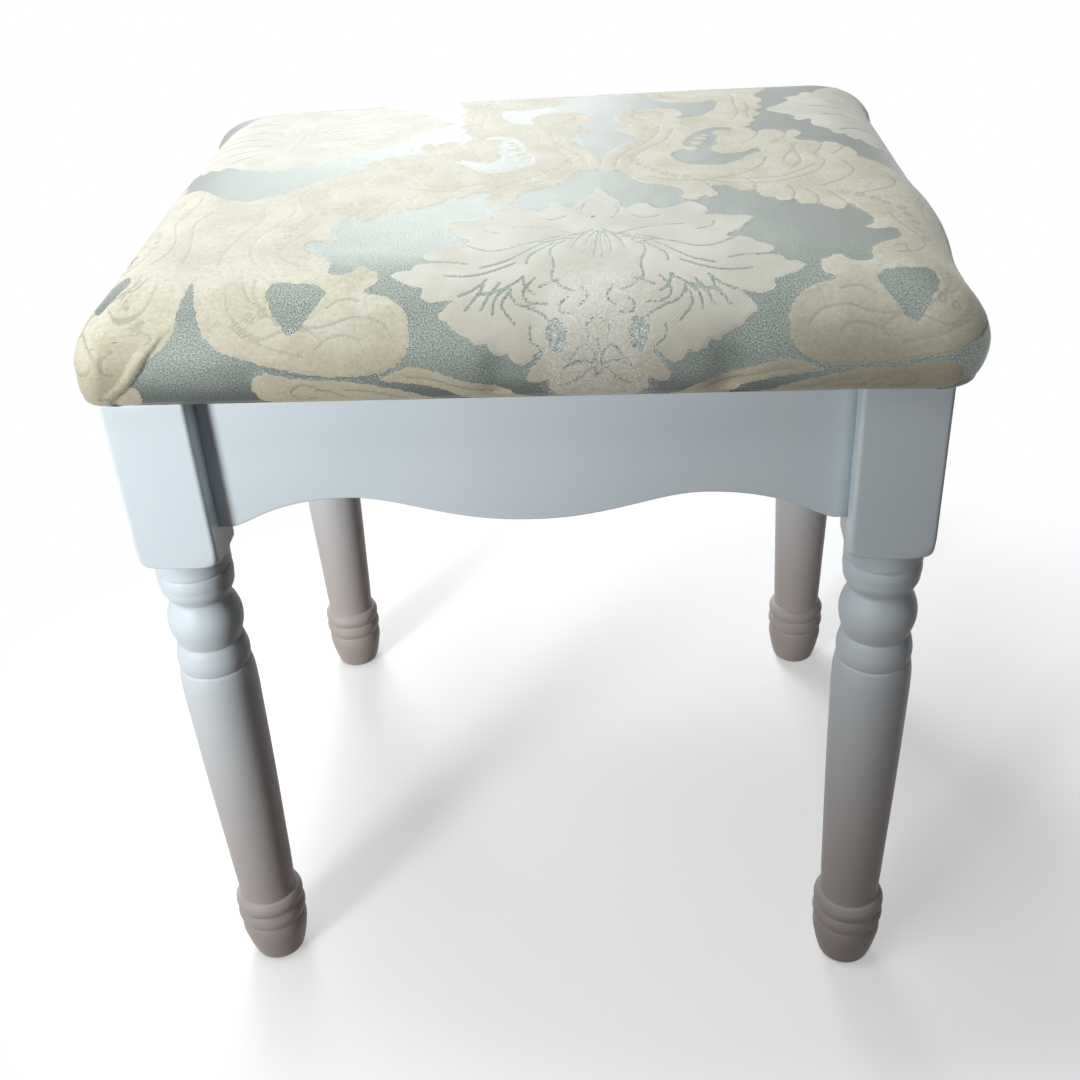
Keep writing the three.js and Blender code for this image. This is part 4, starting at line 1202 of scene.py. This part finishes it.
def build_staples(material):
    """All staples as one piece: each a flat-backed wire crown with its two bends."""
    bend = np.linspace(0, np.pi / 2, 4)
    down, along = STAPLE_BEND * (1 - np.cos(bend)), STAPLE_BEND * (1 - np.sin(bend))
    start = np.stack([-STAPLE_CROWN / 2 + along, down], -1)[::-1]
    path = np.concatenate([start, start[::-1] * (-1, 1)])
    tangent = np.gradient(path, axis=0)
    tangent /= np.linalg.norm(tangent, axis=1, keepdims=True)
    turn = 2 * np.pi * (np.arange(STAPLE_SIDES) + 0.5) / STAPLE_SIDES
    ring_out, ring_side = STAPLE_WIRE / 2 * np.cos(turn), STAPLE_WIRE * np.sin(turn)
    line = path[:, :1] - tangent[:, 1:] * ring_out
    lift = path[:, 1:] + tangent[:, :1] * ring_out
    side = np.broadcast_to(ring_side, line.shape)
    points, quads, fans = [], [], []
    for x, y, along_x in staple_spots():
        floor = dust_height(np.array(x), np.array(y)) - STAPLE_WIRE / 2
        plan = [x + line, y + side] if along_x else [x - side, y + line]
        shell_quads, shell_fans = tube_faces(len(path), STAPLE_SIDES)
        first = sum(len(part) for part in points)
        points.append(between_poles(np.stack([*plan, floor + lift], -1)))
        quads.append(shell_quads + first)
        fans.append(shell_fans + first)
    faces = [np.concatenate(quads), np.concatenate(fans)]
    staples = mesh_piece("dust_cloth_staples", np.concatenate(points), faces, material)
    finish_piece(staples, "zinc_steel")


def build_stage():
    """A floor that is white to the camera, soft grey where the stool shades it and dull to light.

    Scattered light meets a brown floor, as in the room, and sight and reflections meet a
    white one. Its shading fades to plain white away from the stool.
    """
    shader = Shader("studio_floor")
    shader.surface(Base_Color=linear(120, 92, 80), Roughness=1.0, Specular_IOR_Level=0.0)
    away = shader.place((1, 1.6, 1)).apart(FLOOR_MIDDLE).rise(*FLOOR_FADE)
    white = shader.node("ShaderNodeBsdfDiffuse", values={"Color": (0.85, 0.85, 0.86, 1)})
    glow, far = (
        shader.node("ShaderNodeEmission", values={"Color": (1, 1, 1, 1), "Strength": strength})
        for strength in (FLOOR_GLOW, 1.0)
    )
    near = shader.node("ShaderNodeAddShader", values={0: white, 1: glow})
    shown = shader.node("ShaderNodeMixShader", values={0: away, 1: near, 2: far})
    plain = Socket(shader, shader.principled.outputs[0])
    whole = shader.node("ShaderNodeMixShader", values={0: shader.sight(), 1: plain, 2: shown})
    shader.feed(shader.tree.nodes["Material Output"].inputs["Surface"], whole)
    corners = np.array([[-1, -1, 0], [1, -1, 0], [1, 1, 0], [-1, 1, 0]]) * FLOOR_REACH
    floor = mesh_piece("studio_floor", corners, [np.array([[0, 1, 2, 3]])], shader.material, False)


def add_lamp(name, place, target, power, wide=0, high=0, radius=0, cone=0, tint=(1, 1, 1)):
    """A window of a width and height, or else a spot with a radius and a cone, facing a point."""
    lamp = bpy.data.lights.new(name, "AREA" if wide else "SPOT")
    lamp.energy = power
    lamp.color = tint
    if wide:
        lamp.shape = "RECTANGLE"
        lamp.size = wide
        lamp.size_y = high
    else:
        lamp.shadow_soft_size = radius
        lamp.spot_size = cone
        lamp.spot_blend = 1.0
    holder = bpy.data.objects.new(name, lamp)
    holder.location = place
    holder.rotation_mode = "QUATERNION"
    holder.rotation_quaternion = (Vector(target) - Vector(place)).to_track_quat("-Z", "Y")
    bpy.context.scene.collection.objects.link(holder)


def build_lights():
    """A spot from the front left, two windows and a skylight behind, and a strip overhead."""
    middle = (0, 0, 0.45)
    add_lamp("key_spot", (-0.98, -1.3, 0.64), (-0.42, -0.15, 0.49), 109, radius=0.2, cone=0.88)
    add_lamp("tall_window", (-0.8, 1.9, 1.25), middle, 4, wide=1.1, high=1.1, tint=(0.84, 0.98, 1.0))
    add_lamp("small_window", (-0.28, 1.9, 0.95), middle, 8, wide=0.5, high=0.6)
    add_lamp("skylight", (-0.42, 0.95, 1.6), (-0.1, 0, 0.45), 8, wide=0.4, high=1.0)
    add_lamp("overhead_strip", (-0.3, -0.1, 1.5), (-0.28, 0.1, 0.45), 11, wide=0.4, high=1.3)


def build_camera():
    camera = bpy.data.cameras.new("photo_camera")
    camera.lens = CAMERA_LENS
    camera.sensor_width = CAMERA_SENSOR
    camera.clip_end = 20
    holder = bpy.data.objects.new("photo_camera", camera)
    turn = Matrix.Rotation(CAMERA_YAW, 4, "Z")
    tip = Matrix.Rotation(math.pi / 2 + CAMERA_PITCH, 4, "X")
    roll = Matrix.Rotation(CAMERA_ROLL, 4, "Z")
    holder.matrix_world = Matrix.Translation(CAMERA_PLACE) @ turn @ tip @ roll
    bpy.context.scene.collection.objects.link(holder)
    bpy.context.scene.camera = holder


def build_surroundings():
    """Plain white to the camera and in reflections, and a faint glow otherwise."""
    world = bpy.data.worlds.new("studio")
    bpy.context.scene.world = world
    nodes = Nodes(world)
    levels = {"Value": nodes.sight(), "To Min": AMBIENT, "To Max": 1.0}
    level = nodes.node("ShaderNodeMapRange", values=levels)
    background = nodes.tree.nodes["Background"]
    nodes.feed(background.inputs["Color"], (1, 1, 1, 1))
    nodes.feed(background.inputs["Strength"], level)


def give_material(material, *starts):
    """Gives a material to the CAD pieces whose names start so."""
    for name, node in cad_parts.items():
        if name.startswith(starts):
            node.data.materials.clear()
            node.data.materials.append(material)


build_camera()
build_stage()
build_lights()
build_surroundings()
paint = paint_material()
build_legs(paint)
build_aprons(paint)
build_cover(damask_material())
steel = steel_material()
build_dust_cloth(felt_material())
build_staples(steel)
pine = wood_material("pine", (214, 184, 136), (184, 146, 98), (0.1, 1, 1), 0.6)
give_material(pine, "corner_block", "dowel")
plywood = wood_material("plywood", (196, 160, 112), (160, 122, 80), (0.06, 1, 1), 0.65)
give_material(plywood, "seat_board")
give_material(steel, "hanger_bolt", "washer", "nut", "block_screw", "seat_screw")
give_material(glide_material(), "foot_glide")
bpy.context.scene.view_settings.view_transform = "Standard"
